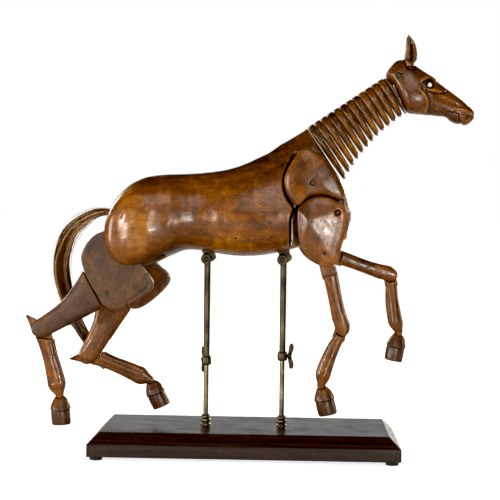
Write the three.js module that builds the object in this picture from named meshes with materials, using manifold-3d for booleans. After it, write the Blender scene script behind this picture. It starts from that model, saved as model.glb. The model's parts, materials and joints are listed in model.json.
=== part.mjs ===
// Jointed wooden horse figure held over a plinth by two telescopic stems.
// Millimetres, +Z up, +X towards the head, -Y towards the viewer (the horse's right side).
import * as THREE from 'three';
import ManifoldModule from 'manifold-3d';
import { mergeVertices, toCreasedNormals } from 'three/addons/utils/BufferGeometryUtils.js';

const wasm = await ManifoldModule();
wasm.setup();

// Plinth and feet
const plinthLength = 332;
const plinthDepth = 150;
const plinthHeight = 25.2;
const plinthChamfer = 12;
const footHeight = 4;
const footRadius = 7;
const footInset = 9;
const plinthTop = footHeight + plinthHeight;

// Stems: a brass rod in the plinth, a steel tube sliding over it
const rearStemX = -44.6;
const frontStemX = 39.2;
const rodRadius = 2.7;
const rodTop = 180;
const rodFoot = 14;
const rodFit = 0.15;
const tubeRadius = 3.5;
const tubeSlide = 0.35;
const tubeTop = 205;
const rearCollarZ = 100.6;
const frontCollarZ = 106.4;
const collarRadius = 5.5;
const collarHeight = 10.4;
const screwRadius = 1.7;
const knuckleZ = tubeTop + 7.5;
const knuckleRadius = 6;
const knuckleHalf = 3.2;
const knucklePin = 2;

// Clearances
const pinFit = 0.2;
const slotFit = 0.3;
const arcFit = 0.4;

// Body widths, measured from the middle plane
const coreHalf = 20;
const plateInner = 18.3;
const plateOuter = 33.7;
const bladeInner = coreHalf + slotFit;
const bladeOuter = 38;
const tongueOuter = 27;
const armInner = tongueOuter + slotFit;
const armOuter = 45.5;
const forelegY = (armInner + armOuter) / 2;
const hindlegY = (plateInner + plateOuter) / 2;

// Pivots in the side view, [x, z]
const hip = [-122, 260];
const bladePivot = [69.4, 297.1];
const shoulder = [96.5, 265.3];
const elbow = [83, 221.2];
const stifle = [-150.3, 175.3];
const nod = [161.2, 415.8];

// Bone lengths and joint radii
const forearmLength = 82;
const foreCannonLength = 65.3;
const gaskinLength = 82.5;
const hindCannonLength = 74.4;
const elbowRadius = 8.6;
const kneeRadius = 8.9;
const hockRadius = 11.6;
const fetlockRadius = 5;
const dowelRadius = 2.6;
const smallDowel = 1.4;

// Smallest and largest bend of the hock, degrees between gaskin and cannon
const hockFold = [58, 107];

// Rest pose, degrees from straight down, positive towards the head
const pose = {
  right: { blade: 0, forearm: 14.5, foreCannon: -19.7, foreHoof: 12.5,
    thigh: 0, gaskin: -61.4, hindCannon: 15.4, hindHoof: 3 },
  left: { blade: -2.3, forearm: 73, foreCannon: 9.7, foreHoof: -11,
    thigh: 10.5, gaskin: -32.9, hindCannon: 68.4, hindHoof: 24.6 },
};

// Neck: graduated discs that meet along a straight crest and fan out at the throat
const discCount = 12;
const crestStart = [62.9, 358];
const crestEnd = [144.8, 412.8];
const throatStart = [106, 302.6];
const throatStep = [4.4, 7.7];
const throatTurn = [0.2, -0.3];
const discHalfLow = 18;
const discHalfHigh = 14.5;
const crestGap = 0.3;
const throatGap = 3;
const sideGap = 1.5;

// The overall box is centred over the origin by this shift
const boxShift = -2.6;

function paint(name, colour, roughness, metalness) {
  const material = new THREE.MeshStandardMaterial({ color: colour, roughness, metalness });
  material.name = name;
  return material;
}

const walnut = paint('polished_walnut', 0x8a4f22, 0.4, 0);
const plateWood = paint('worn_walnut', 0x7b5233, 0.5, 0);
const hoofWood = paint('dark_hoof_wood', 0x4a2c18, 0.45, 0);
const ebonised = paint('ebonised_wood', 0x1d1412, 0.2, 0);
const steel = paint('aged_steel', 0x4d4740, 0.42, 0.9);
const brass = paint('aged_brass', 0x776a44, 0.4, 0.9);
const hair = paint('tail_hair', 0x3d2817, 0.75, 0);
const bead = paint('pale_bead', 0xe9e4d8, 0.2, 0);
const felt = paint('felt_pad', 0x171412, 0.95, 0);

const rad = THREE.MathUtils.degToRad;

// Solids

function toSolid(geometry) {
  const bare = new THREE.BufferGeometry();
  bare.setAttribute('position', geometry.getAttribute('position').clone());
  if (geometry.index) bare.setIndex(geometry.index.clone());
  const merged = mergeVertices(bare, 1e-4);
  return new wasm.Manifold(new wasm.Mesh({
    numProp: 3,
    vertProperties: Float32Array.from(merged.getAttribute('position').array),
    triVerts: Uint32Array.from(merged.index.array),
  }));
}

function toGeometry(solid) {
  const mesh = solid.getMesh();
  const geometry = new THREE.BufferGeometry();
  geometry.setAttribute('position', new THREE.BufferAttribute(mesh.vertProperties, 3));
  geometry.setIndex(new THREE.BufferAttribute(mesh.triVerts, 1));
  return toCreasedNormals(geometry, 0.7);
}

function join(first, ...others) {
  return others.reduce((sum, other) => sum.add(other), first);
}

function cut(first, ...others) {
  return others.reduce((rest, other) => rest.subtract(other), first);
}

// Skins a row of rings with equal point counts and closes both ends with fans
function skin(rings) {
  const sides = rings[0].length;
  const points = rings.flat();
  const faces = [];
  for (let r = 0; r + 1 < rings.length; r += 1) {
    for (let s = 0; s < sides; s += 1) {
      const a = r * sides + s;
      const b = r * sides + ((s + 1) % sides);
      faces.push(a, b, a + sides, b, b + sides, a + sides);
    }
  }
  for (const end of [0, rings.length - 1]) {
    const middle = new THREE.Vector3();
    rings[end].forEach((p) => middle.addScaledVector(p, 1 / sides));
    const hub = points.push(middle) - 1;
    for (let s = 0; s < sides; s += 1) {
      const a = end * sides + s;
      const b = end * sides + ((s + 1) % sides);
      if (end === 0) faces.push(hub, b, a);
      else faces.push(hub, a, b);
    }
  }
  let volume = 0;
  for (let f = 0; f < faces.length; f += 3) {
    const [a, b, c] = [points[faces[f]], points[faces[f + 1]], points[faces[f + 2]]];
    volume += a.dot(new THREE.Vector3().crossVectors(b, c));
  }
  if (volume < 0) faces.reverse();
  const geometry = new THREE.BufferGeometry().setFromPoints(points);
  geometry.setIndex(faces);
  return toSolid(geometry);
}

// Oval ring between two side-view points, with half width, squareness and side taper
function ovalRing(top, bottom, half, power, sides, taper = 0) {
  const bend = (v) => Math.sign(v) * Math.abs(v) ** (2 / power);
  const ring = [];
  for (let s = 0; s < sides; s += 1) {
    const angle = (2 * Math.PI * s) / sides;
    const up = bend(Math.cos(angle));
    const side = bend(Math.sin(angle)) * half * (1 - taper * up);
    const x = (top[0] + bottom[0]) / 2 + ((top[0] - bottom[0]) / 2) * up;
    const z = (top[1] + bottom[1]) / 2 + ((top[1] - bottom[1]) / 2) * up;
    ring.push(new THREE.Vector3(x, side, z));
  }
  return ring;
}

// Limb body hanging down -Z from its upper pivot: rows of [distance, front, back, half]
function limbBody(rows, power = 2.7, sides = 10) {
  return skin(rows.map(([s, front, back, half]) =>
    ovalRing([front, -s], [-back, -s], half, power, sides)));
}

// Rows that round the lower end of a limb about its pivot
function roundEnd(length, radius, half) {
  return [0, 35, 65, 85].map((a) => [
    length + radius * Math.sin(rad(a)),
    radius * Math.cos(rad(a)),
    radius * Math.cos(rad(a)),
    half * (1 - 0.12 * (a / 85) ** 2),
  ]);
}

// Side-view outline [[x, z], ...] extruded between two y values
function slab(outline, y0, y1) {
  const shape = new THREE.Shape(outline.map(([x, z]) => new THREE.Vector2(x, z)));
  const geometry = new THREE.ExtrudeGeometry(shape, { depth: y1 - y0, bevelEnabled: false });
  geometry.rotateX(Math.PI / 2);
  geometry.translate(0, y1, 0);
  return toSolid(geometry);
}

// Smooth closed outline through the given points
function smooth(points, count) {
  const curve = new THREE.CatmullRomCurve3(
    points.map(([x, z]) => new THREE.Vector3(x, 0, z)), true, 'centripetal');
  return curve.getSpacedPoints(count).slice(0, count).map((p) => [p.x, p.z]);
}

// Carved plate: the outline repeated at rows of [y, share], shrunk by that share to its crown
function carvedPlate(outline, crown, rows) {
  return skin(rows.map(([y, share]) => outline.map(([x, z]) =>
    new THREE.Vector3(x + (crown[0] - x) * share, y, z + (crown[1] - z) * share))));
}

// Round bar along Y
function dowel([x, z], radius, y0, y1, segments = 14) {
  const geometry = new THREE.CylinderGeometry(radius, radius, y1 - y0, segments);
  geometry.translate(x, (y0 + y1) / 2, z);
  return toSolid(geometry);
}

// Turned solid about a vertical axis: rows of [radius, z]
function turned(rows, x = 0, y = 0, segments = 16) {
  const geometry = new THREE.LatheGeometry(rows.map(([r, z]) => new THREE.Vector2(r, z)), segments);
  geometry.rotateX(Math.PI / 2);
  geometry.translate(x, y, 0);
  return toSolid(geometry);
}

function direction(degrees) {
  return [Math.sin(rad(degrees)), -Math.cos(rad(degrees))];
}

// Outline of a strip of half width r that leaves the pivot anywhere between two angles
function sweptStrip([x, z], r, from, to, reach) {
  const at = (a, length) => direction(a).map((d) => d * length);
  const points = [];
  const add = (...parts) => points.push([
    x + parts.reduce((sum, p) => sum + p[0], 0),
    z + parts.reduce((sum, p) => sum + p[1], 0)]);
  add(at(from - 90, r));
  add(at(from - 90, r), at(from, reach));
  for (let a = from + 30; a < to - 5; a += 30) add(at(a, reach * 1.25));
  add(at(to + 90, r), at(to, reach));
  add(at(to + 90, r));
  const span = 180 - (to - from);
  const steps = Math.max(2, Math.round(span / 24));
  for (let i = 1; i < steps; i += 1) add(at(to + 90 + (span * i) / steps, r));
  return points;
}

// Forked end: slot for the next piece and the dowel across it
function forkEnd(body, pivot, tongueRadius, slotHalf, from, to, dowelSize, cheek) {
  const slot = slab(sweptStrip(pivot, tongueRadius + arcFit, from, to, 60), -slotHalf, slotHalf);
  return join(cut(body, slot), dowel(pivot, dowelSize, -cheek, cheek, 12));
}

// Tongued end at the origin: body cleared round the parent's end, then the bored tongue
function tongueEnd(body, clearRadius, tongueRadius, tongueHalf, reach, dowelSize) {
  const cleared = cut(body, dowel([0, 0], clearRadius, -60, 60, 22));
  const tongue = slab(sweptStrip([0, 0], tongueRadius, 0, 0, reach), -tongueHalf, tongueHalf);
  return cut(join(cleared, tongue), dowel([0, 0], dowelSize + pinFit, -60, 60, 12));
}

function piece(group, name, solid, material) {
  const mesh = new THREE.Mesh(toGeometry(solid), material);
  mesh.name = name;
  group.add(mesh);
  return mesh;
}

function pivotGroup(parent, name, x, y, z, degrees = 0) {
  const group = new THREE.Group();
  group.name = name;
  group.position.set(x, y, z);
  group.rotation.y = -rad(degrees);
  parent.add(group);
  return group;
}

// Stand

function buildPlinth() {
  const rectangle = (inset, z) => [[1, 1], [-1, 1], [-1, -1], [1, -1]].map(([sx, sy]) =>
    new THREE.Vector3(sx * (plinthLength / 2 - inset), sy * (plinthDepth / 2 - inset), z));
  const block = skin([
    rectangle(0, footHeight),
    rectangle(0, plinthTop - plinthChamfer),
    rectangle(plinthChamfer, plinthTop),
  ]);
  const holes = [rearStemX, frontStemX].map((x) =>
    turned([[0, rodFoot - 0.4], [rodRadius + rodFit, rodFoot - 0.4],
      [rodRadius + rodFit, plinthTop + 1], [0, plinthTop + 1]], x));
  const spareHole = turned([[0, plinthTop - 6], [1.5, plinthTop - 6], [1.5, plinthTop + 1],
    [0, plinthTop + 1]], 47.3, -33, 12);
  return cut(block, ...holes, spareHole);
}

function buildSocket(x) {
  const rows = [[5.7, 0], [5.7, 1.2], [4.4, 2.8], [5.8, 4.6], [5.5, 6.5], [4.5, 7.4], [5.2, 8.8],
    [4.7, 10.6], [3.7, 11.4]].map(([r, z]) => [r, z + plinthTop]);
  const bore = rodRadius + rodFit;
  return turned([[bore, plinthTop], ...rows, [bore, plinthTop + 11.4], [bore, plinthTop]], x);
}

function buildRod(x) {
  return turned([[0, rodFoot], [rodRadius, rodFoot], [rodRadius, rodTop - 1],
    [rodRadius - 0.8, rodTop], [0, rodTop]], x);
}

// Tube, collar, wing screw and knuckle are built round the stem's own axis
function buildTube(collarZ, screwAngle) {
  const foot = collarZ - collarHeight / 2 + 1.6;
  const bore = rodRadius + tubeSlide;
  const tube = turned([[bore, foot], [tubeRadius, foot], [tubeRadius, tubeTop], [bore, tubeTop],
    [bore, foot]]);
  return cut(tube, screwShank(collarZ, screwAngle, screwRadius + 0.15));
}

function screwShank(collarZ, angle, radius) {
  const geometry = new THREE.CylinderGeometry(radius, radius, 9, 12);
  geometry.rotateZ(Math.PI / 2);
  geometry.translate(rodRadius + 0.25 + 4.5, 0, 0);
  geometry.rotateZ(angle);
  geometry.translate(0, 0, collarZ);
  return toSolid(geometry);
}

function buildCollar(collarZ, screwAngle) {
  const low = collarZ - collarHeight / 2;
  const high = collarZ + collarHeight / 2;
  const seat = low + 1.5;
  const slide = rodRadius + tubeSlide;
  const grip = tubeRadius + 0.1;
  const ring = turned([[slide, low], [collarRadius - 1, low], [collarRadius, low + 1.2],
    [collarRadius, high - 2], [collarRadius - 1.2, high], [grip, high], [grip, seat], [slide, seat],
    [slide, low]], 0, 0, 18);
  return cut(ring, screwShank(collarZ, screwAngle, screwRadius + 0.15));
}

// Built with the screw pointing along +X from the stem's axis at the collar's height
function buildWingScrew() {
  const start = collarRadius + 0.35;
  const hub = turned([[0, start], [2.6, start], [3.1, start + 0.8], [3.1, start + 3.6],
    [2.4, start + 4.6], [0, start + 4.6]], 0, 0, 12);
  const shank = turned([[0, rodRadius + 0.3], [screwRadius, rodRadius + 0.3],
    [screwRadius, start + 1], [0, start + 1]], 0, 0, 12);
  const upright = join(hub, shank);
  const turn = new THREE.Matrix4().makeRotationY(Math.PI / 2);
  const lobes = [1, -1].map((s) => {
    const outline = smooth([[start + 0.6, s * 1.5], [start + 3.6, s * 1.5], [start + 6.2, s * 6],
      [start + 6.9, s * 10.5], [start + 4.9, s * 14.4], [start + 2.2, s * 13.4],
      [start + 1.1, s * 8.5]], 14);
    return slab(s > 0 ? outline : outline.reverse(), -1.1, 1.1);
  });
  return join(upright.transform(turn.elements), ...lobes);
}

// Eye that plugs into the tube's top and carries the belly lug's pin
function buildKnuckle(eyeOffset) {
  const stem = turned([[0, tubeTop - 6], [rodRadius + tubeSlide - 0.1, tubeTop - 6],
    [rodRadius + tubeSlide - 0.1, tubeTop + 0.1], [tubeRadius, tubeTop + 0.1],
    [tubeRadius, knuckleZ - 3.5], [0, knuckleZ - 3.5]]);
  const centre = [eyeOffset, knuckleZ];
  const rim = dowel(centre, knuckleRadius - 0.7, -knuckleHalf, knuckleHalf, 18);
  const eye = dowel(centre, knuckleRadius, -knuckleHalf + 0.7, knuckleHalf - 0.7, 18);
  return cut(join(stem, rim, eye), dowel(centre, knucklePin + pinFit, -20, 20, 12));
}

// Lug under the belly: block let into the wood, side plate and pin, at the pivot's x
function buildLug(blockTop) {
  const blockFoot = knuckleZ + knuckleRadius + 0.8;
  const inner = knuckleHalf + slotFit;
  const block = slab([[-5, blockFoot], [8, blockFoot], [8, blockTop], [-5, blockTop]], -4, inner + 4);
  const plate = slab(smooth([[-4.4, knuckleZ], [-3, knuckleZ - 3.4], [0.6, knuckleZ - 4.6],
    [6, knuckleZ - 3], [10.4, knuckleZ + 0.6], [10.3, knuckleZ + 4], [7.4, blockFoot + 0.6],
    [-3, blockFoot + 0.6]], 18), inner, inner + 4);
  const pin = dowel([0, knuckleZ], knucklePin, -knuckleHalf + 0.6, inner + 0.5, 12);
  return join(block, plate, pin);
}

// Torso

const bodyRings = [
  // top, bottom, half width, squareness, taper towards the top
  [[-155.6, 251], [-156.4, 240], 27, 3, 0],
  [[-153.6, 258], [-155.4, 231.4], 36, 3.2, 0],
  [[-150.4, 266.2], [-152.4, 219.2], 41.5, 3.4, 0],
  [[-144.8, 277.2], [-146.4, 208.6], 45.5, 3.6, 0],
  [[-136.6, 286.6], [-137.2, 202.6], 48, 3.6, 0],
  [[-126, 295.2], [-126.4, 200.7], 49.5, 3.5, 0.02],
  [[-112.6, 301.4], [-113, 203.2], 50, 3.3, 0.04],
  [[-98, 304], [-98, 208.8], 49, 3, 0.05],
  [[-84, 305.2], [-84, 215.6], 46.3, 2.7, 0.06],
  [[-68, 305.8], [-68, 221.6], 42.5, 2.4, 0.08],
  [[-50, 307.2], [-50, 221.2], 40, 2.3, 0.08],
  [[-30, 310], [-30, 217.9], 42.6, 2.25, 0.1],
  [[-10, 315.4], [-8, 216], 44.4, 2.25, 0.14],
  [[9, 324], [14, 217], 44.3, 2.3, 0.18],
  [[23, 331.2], [36, 221], 43, 2.3, 0.24],
  [[34.5, 339.3], [59, 226.6], 40.8, 2.3, 0.3],
  [[44, 344.7], [88, 228.5], 37, 2.3, 0.3],
  [[52, 349.8], [107.5, 236], 31, 2.3, 0.24],
  [[57.5, 353.4], [112.6, 262], 25.5, 2.3, 0.14],
  [[60.6, 355.5], [108.3, 286.5], 21, 2.3, 0.06],
];

// Kerf for a thigh plate, from the hip pin
const kerfOutline = [[23.4, -1], [26.5, -22], [32, -45], [44, -80], [-70, -80], [-70, -3],
  [-23.4, 1], [-21, 10.5], [-14.8, 18.2], [-5.2, 22.9], [5.2, 22.9], [14.8, 18.2], [21, 10.5]];

// Pocket for a shoulder blade: arc about its pin, then the front of the barrel
function pocketOutline() {
  const arc = [[92, 40.5], [104, 39.6], [118, 39.2], [128, 37.4], [138, 34.2], [148, 33], [162, 32.7],
    [178, 32.6], [194, 32.6], [208, 32.9], [222, 33.4], [233, 34.4]].map(([a, r]) =>
    [bladePivot[0] + r * Math.cos(rad(a)), bladePivot[1] + r * Math.sin(rad(a))]);
  return [...arc, [46.6, 262], [45.2, 255], [45.2, 190], [150, 190], [150, 340], [80, 352]];
}

const shiftOutline = (outline, [x, z]) => outline.map((p) => [p[0] + x, p[1] + z]);

function buildTorso() {
  const rings = bodyRings.map(([top, bottom, half, power, taper]) =>
    ovalRing(top, bottom, half, power, 20, taper));
  const face = neckFace(0);
  const lead = (p, back) => [p[0] - face.normal[0] * back, p[1] - face.normal[1] * back];
  rings.push(ovalRing(lead(face.crest, halfGap(0, 0)), lead(face.throat, halfGap(1, 0)),
    discHalfLow, 2.3, 20));
  let body = skin(rings);
  for (const s of [-1, 1]) {
    const [y0, y1] = s < 0 ? [-plateOuter - slotFit, -plateInner + slotFit]
      : [plateInner - slotFit, plateOuter + slotFit];
    body = cut(body, slab(shiftOutline(kerfOutline, hip), y0, y1));
    const [p0, p1] = s < 0 ? [-60, -coreHalf] : [coreHalf, 60];
    body = cut(body, slab(pocketOutline(), p0, p1));
  }
  const dock = new THREE.CylinderGeometry(4.7, 4.7, 20, 16);
  dock.rotateZ(Math.PI / 2);
  dock.translate(-155, 0, 262.5);
  const inner = knuckleHalf + slotFit;
  const recess = (x, high) => slab([[x - 5.1, 205], [x + 8.1, 205], [x + 8.1, high], [x - 5.1, high]],
    -4.1, inner + 4.1);
  return cut(body, toSolid(dock),
    dowel(hip, dowelRadius + 0.1, -44, 44, 20),
    dowel(bladePivot, dowelRadius + 0.1, -60, 60, 20),
    recess(rearPivotX, rearLugTop + 0.1), recess(frontPivotX, frontLugTop + 0.1));
}

const rearPivotX = rearStemX - 1.4;
const frontPivotX = frontStemX - 1.4;
const rearLugTop = 227;
const frontLugTop = 228;

// Tail: root plugged in the dock, swinging out past the far hind leg; [x, y, z, half width]
const tailPath = [
  [-146, 0, 262.5, 4.3], [-154, 0, 262.6, 4.3], [-163, 0, 262.8, 4.8], [-174.2, 1, 259.8, 6.6],
  [-185.4, 3, 253, 8.1], [-195.8, 7, 243.6, 9.2], [-204.3, 13, 231.4, 9.9], [-210, 20, 216.6, 10.3],
  [-212.6, 28, 199.8, 10.3], [-212, 36, 183, 9.9], [-209, 42.5, 167, 9.2], [-203.6, 46, 151, 8.6],
  [-196, 47, 135, 7.8], [-186.7, 47, 119, 6.8], [-177.3, 46.5, 104, 5.6], [-170, 46, 92, 4.1],
  [-164.6, 46, 83, 2],
];

function buildTail() {
  const centres = tailPath.map(([x, y, z]) => new THREE.Vector3(x, y, z));
  const rings = tailPath.map(([, , , wide], i) => {
    const before = centres[Math.max(i - 1, 0)];
    const after = centres[Math.min(i + 1, centres.length - 1)];
    const along = new THREE.Vector3().subVectors(after, before).normalize();
    const across = new THREE.Vector3(0, 1, 0).addScaledVector(along, -along.y).normalize();
    const up = new THREE.Vector3().crossVectors(along, across);
    const thin = Math.min(wide, 4.3 + (wide - 4.3) * 0.45);
    const ring = [];
    for (let s = 0; s < 10; s += 1) {
      const a = (2 * Math.PI * s) / 10;
      ring.push(centres[i].clone().addScaledVector(up, wide * Math.cos(a))
        .addScaledVector(across, thin * Math.sin(a)));
    }
    return ring;
  });
  return skin(rings);
}

// Neck

function mix(a, b, t) {
  return [a[0] + (b[0] - a[0]) * t, a[1] + (b[1] - a[1]) * t];
}

function throatAt(k) {
  const turn = (k * (k - 1)) / 2;
  return [throatStart[0] + throatStep[0] * k + throatTurn[0] * turn,
    throatStart[1] + throatStep[1] * k + throatTurn[1] * turn];
}

// Plane between neighbours k - 1 and k: crest end, throat end, unit directions
function neckFace(k) {
  const crest = mix(crestStart, crestEnd, k / discCount);
  const throat = throatAt(k - 0.5);
  const length = Math.hypot(throat[0] - crest[0], throat[1] - crest[1]);
  const along = [(throat[0] - crest[0]) / length, (throat[1] - crest[1]) / length];
  return { crest, throat, length, along, normal: [-along[1], along[0]] };
}

// Half of the gap beside the plane, widening to the throat and to both sides
function halfGap(a, b) {
  return (crestGap + (throatGap - crestGap) * a ** 3 + sideGap * b * b) / 2;
}

// Point beside face k; a runs from crest to throat, b from side to side
function facePoint(k, a, b, half, side) {
  const face = neckFace(k);
  const off = side * halfGap(a, b);
  return new THREE.Vector3(
    face.crest[0] + face.along[0] * a * face.length + face.normal[0] * off,
    b * half,
    face.crest[1] + face.along[1] * a * face.length + face.normal[1] * off);
}

const discHalf = (k) => discHalfLow + ((discHalfHigh - discHalfLow) * k) / discCount;

// Unit oval shrunk by the rounding of the rim, which is sharper at the crest
function ovalPoint(s, sides, shrink) {
  const angle = (2 * Math.PI * s) / sides;
  const bend = (v) => Math.sign(v) * Math.abs(v) ** (2 / 2.3);
  const a = (1 - bend(Math.cos(angle))) / 2;
  const inset = shrink * (0.25 + 0.75 * Math.min(1, a * 1.6));
  return [0.5 + (a - 0.5) * (1 - inset), bend(Math.sin(angle)) * (1 - inset)];
}

function buildDisc(k) {
  const sides = 16;
  const faceRing = (face, side, shrink) => Array.from({ length: sides }, (_, s) => {
    const [a, b] = ovalPoint(s, sides, shrink);
    return facePoint(face, a, b, discHalf(k), side);
  });
  const between = (r0, r1, t) => r0.map((p, i) => p.clone().lerp(r1[i], t));
  const rearRim = faceRing(k, 1, 0);
  const frontRim = faceRing(k + 1, -1, 0);
  return skin([
    faceRing(k, 1, 0.5),
    faceRing(k, 1, 0.09),
    between(rearRim, frontRim, 0.5),
    faceRing(k + 1, -1, 0.09),
    faceRing(k + 1, -1, 0.5),
  ]);
}

// Last neck piece: a wedge that tucks under the poll, with a tongue up to the nod pin
function buildNeckTop() {
  const rear = (a) => {
    const p = facePoint(discCount, a, 0, 0, 1);
    return [p.x, p.z];
  };
  const rows = [
    [rear(0.02), [146.6, 413], 4.5],
    [rear(0.1), [151, 409.9], 9],
    [rear(0.22), [156, 405.2], 12],
    [rear(0.4), [159, 398.5], 13.6],
    [rear(0.58), [162.2, 391.5], 14.2],
    [rear(0.75), [164.7, 384.8], 13.6],
    [rear(0.88), [167.5, 379.6], 11.5],
    [rear(0.96), [170.3, 376], 7.5],
    [[170.2, 373.6], [171.6, 374.8], 3],
  ];
  const rings = rows.map(([back, front, half]) => ovalRing(back, front, half, 3, 12));
  const tongue = slab([...sweptStrip(nod, 5.2, -52, -52, 14)], -3.6, 3.6);
  return cut(join(skin(rings), tongue), dowel(nod, dowelRadius + pinFit, -20, 16));
}

// Head

const headRings = [
  [[147.4, 416.4], [149.7, 412.7], 5, 2.4, 0],
  [[150.4, 421.4], [155.6, 408.6], 10, 2.4, 0],
  [[154.8, 427.2], [158.9, 401], 13, 2.4, 0.05],
  [[159.4, 431.6], [163.6, 390.6], 15.5, 2.5, 0.1],
  [[165.2, 432.8], [168, 380.8], 17.5, 2.6, 0.14],
  [[170.8, 432.2], [172.8, 375.4], 18.6, 2.7, 0.14],
  [[179.5, 427], [181, 374.1], 19, 2.7, 0.1],
  [[188.5, 421], [188.6, 373.4], 18.6, 2.6, 0.04],
  [[193.4, 418], [193.2, 373], 17, 2.5, -0.04],
  [[200, 413.8], [199, 372.6], 15.6, 2.4, -0.1],
  [[207, 407.3], [206, 371.8], 14.2, 2.4, -0.06],
  [[217, 400], [214, 370.8], 12.6, 2.4, 0],
  [[226, 393.6], [220, 366], 11.6, 2.5, 0],
  [[233, 388.2], [226.6, 363.6], 11.3, 2.6, 0],
  [[239.2, 382.9], [230.4, 364], 11.8, 2.6, 0.05],
  [[243.6, 378.8], [235.2, 362.2], 11.6, 2.6, 0.08],
  [[245.7, 374.6], [240.4, 364.8], 9, 2.4, 0],
  [[245.2, 371], [243, 367.8], 5, 2.2, 0],
];
const eyeAt = [194.9, 404.8];
const eyeSide = 13.2;
const earSeat = [173.6, 9.5, 424.6];
const earFoot = 5.4;

function buildHead() {
  const body = skin(headRings.map(([top, bottom, half, power, taper]) =>
    ovalRing(top, bottom, half, power, 16, taper)));
  const slot = slab([[140, 400], [163, 391], [168, 398], [168.6, 417], [166, 422], [161, 423],
    [156, 421.6], [140, 412]], -3.9, 3.9);
  const sockets = [-1, 1].map((s) => dowel(eyeAt, 2.75, s < 0 ? -30 : eyeSide - 4,
    s < 0 ? -eyeSide + 4 : 30, 16));
  const earHoles = [-1, 1].map((s) => turned([[0, earSeat[2] - 6], [2.2, earSeat[2] - 6],
    [2.2, earSeat[2] + 12], [0, earSeat[2] + 12]], earSeat[0], s * earSeat[1], 14));
  const flat = earFoot + 0.5;
  const earFlats = [-1, 1].map((s) => turned([[0, earSeat[2]], [flat, earSeat[2]],
    [flat, earSeat[2] + 14], [0, earSeat[2] + 14]], earSeat[0], s * earSeat[1], 20));
  return cut(body, slot, ...sockets, ...earHoles, ...earFlats,
    dowel(nod, dowelRadius + 0.1, -60, 60, 16));
}

// Bead on a short shank, built for the right side
function buildEye() {
  const rows = [[0, 0], [2.6, 0], [2.6, 4.4], [2.3, 5.2], [1.5, 5.9], [0, 6.2]];
  const geometry = new THREE.LatheGeometry(rows.map(([r, z]) => new THREE.Vector2(r, z)), 16);
  geometry.rotateX(Math.PI);
  const solid = toSolid(geometry);
  const back = eyeSide - 3.9;
  const move = new THREE.Matrix4().makeTranslation(eyeAt[0], -back, eyeAt[1]);
  return solid.transform(move.elements);
}

// Leaf-shaped ear on a peg: hollow in front, built round the peg's axis
function buildEar() {
  const rows = [
    // height, middle x, half length, half thickness, hollow
    [0.4, 0, earFoot - 0.4, 4.4, 0], [4.4, 0, earFoot, 4.8, 0], [8, 0.6, 6.9, 5, 0.35],
    [12.5, 1, 7, 4.6, 0.5],
    [18, 1.4, 6.2, 3.9, 0.5], [24, 1, 4.9, 3, 0.45], [29, -0.2, 3.2, 2, 0.3], [33, -1.6, 1.4, 1, 0],
    [35, -2.6, 0.4, 0.4, 0],
  ];
  const rings = rows.map(([z, x, long, thick, hollow]) => {
    const ring = [];
    for (let s = 0; s < 12; s += 1) {
      const a = (2 * Math.PI * s) / 12;
      const dish = Math.sin(a) < 0 ? 1 - 1.7 * hollow * (1 - Math.abs(Math.cos(a))) : 1;
      ring.push(new THREE.Vector3(x + long * Math.cos(a), thick * dish * Math.sin(a), z));
    }
    return ring;
  });
  const peg = turned([[0, -5.4], [2, -5.4], [2, 1], [0, 1]], 0, 0, 14);
  return join(skin(rings), peg);
}

// Foreleg, right side

const bladeOutline = smooth([[-14.3, 34.1], [-8, 37.2], [-0.4, 35.4], [10.4, 26.9], [22.3, 14.2],
  [30, 2.5], [35.2, -11], [34.4, -16], [30.3, -18.6], [19.5, -14.9], [6.7, -13], [-4, -16.2],
  [-11.5, -23.4], [-16.8, -26], [-22.2, -21.6], [-26.8, -15.5], [-29.9, -8], [-31, 0], [-29.9, 8],
  [-26.8, 15.5], [-22.6, 22.4], [-18, 29]], 28);

function buildBlade() {
  const plate = carvedPlate(bladeOutline, [2, 4], [[-bladeInner, 0.03], [-bladeInner - 1.4, 0],
    [-bladeOuter + 4.4, 0], [-bladeOuter + 3, 0.03], [-bladeOuter + 2, 0.09], [-bladeOuter + 1.2, 0.2],
    [-bladeOuter + 0.5, 0.45], [-bladeOuter + 0.1, 0.75]]);
  const seat = [shoulder[0] - bladePivot[0], shoulder[1] - bladePivot[1]];
  const tongue = slab(sweptStrip(seat, 9, 202, 202, 26), -tongueOuter, -bladeInner);
  const peg = dowel(seat, dowelRadius, -armOuter + 3.3, -tongueOuter + 1, 16);
  return cut(join(plate, tongue, peg), dowel([0, 0], dowelRadius + pinFit, -60, 0));
}

// Outline from the shoulder pin
const armOutline = smooth([[-37.8, 8.2], [-42.4, 3.6], [-43.3, -6], [-42.6, -19], [-39.8, -35],
  [-33.8, -46.4], [-24, -54.6], [-12.6, -58.4], [-2, -55.8], [2, -47], [4.6, -38], [9, -20.2],
  [10.6, -2], [8, 7], [1.8, 10.8], [-8.2, 15.6], [-20.6, 17.4], [-30.4, 14.1]], 28);
const armCrown = [-30, -9];
const elbowSeat = [elbow[0] - shoulder[0], elbow[1] - shoulder[1]];

function buildArm() {
  const mid = -forelegY;
  const plate = carvedPlate(armOutline, armCrown, [[-armInner, 0.04], [-armInner - 1.6, 0],
    [-armOuter + 5.2, 0], [-armOuter + 4.2, 0.04], [-armOuter + 3.5, 0.1], [-armOuter + 2.5, 0.28],
    [-armOuter + 1.6, 0.5], [-armOuter + 0.8, 0.72], [-armOuter + 0.2, 0.9]]);
  const slot = slab(sweptStrip(elbowSeat, elbowRadius + arcFit, -22, 98, 40), mid - 3.3, mid + 3.3);
  const pin = dowel(elbowSeat, dowelRadius, -armOuter + 3, -armInner - 1.6, 16);
  const forked = join(cut(plate, slot), pin);
  return cut(forked, dowel([0, 0], dowelRadius + pinFit, -60, 0));
}

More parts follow.
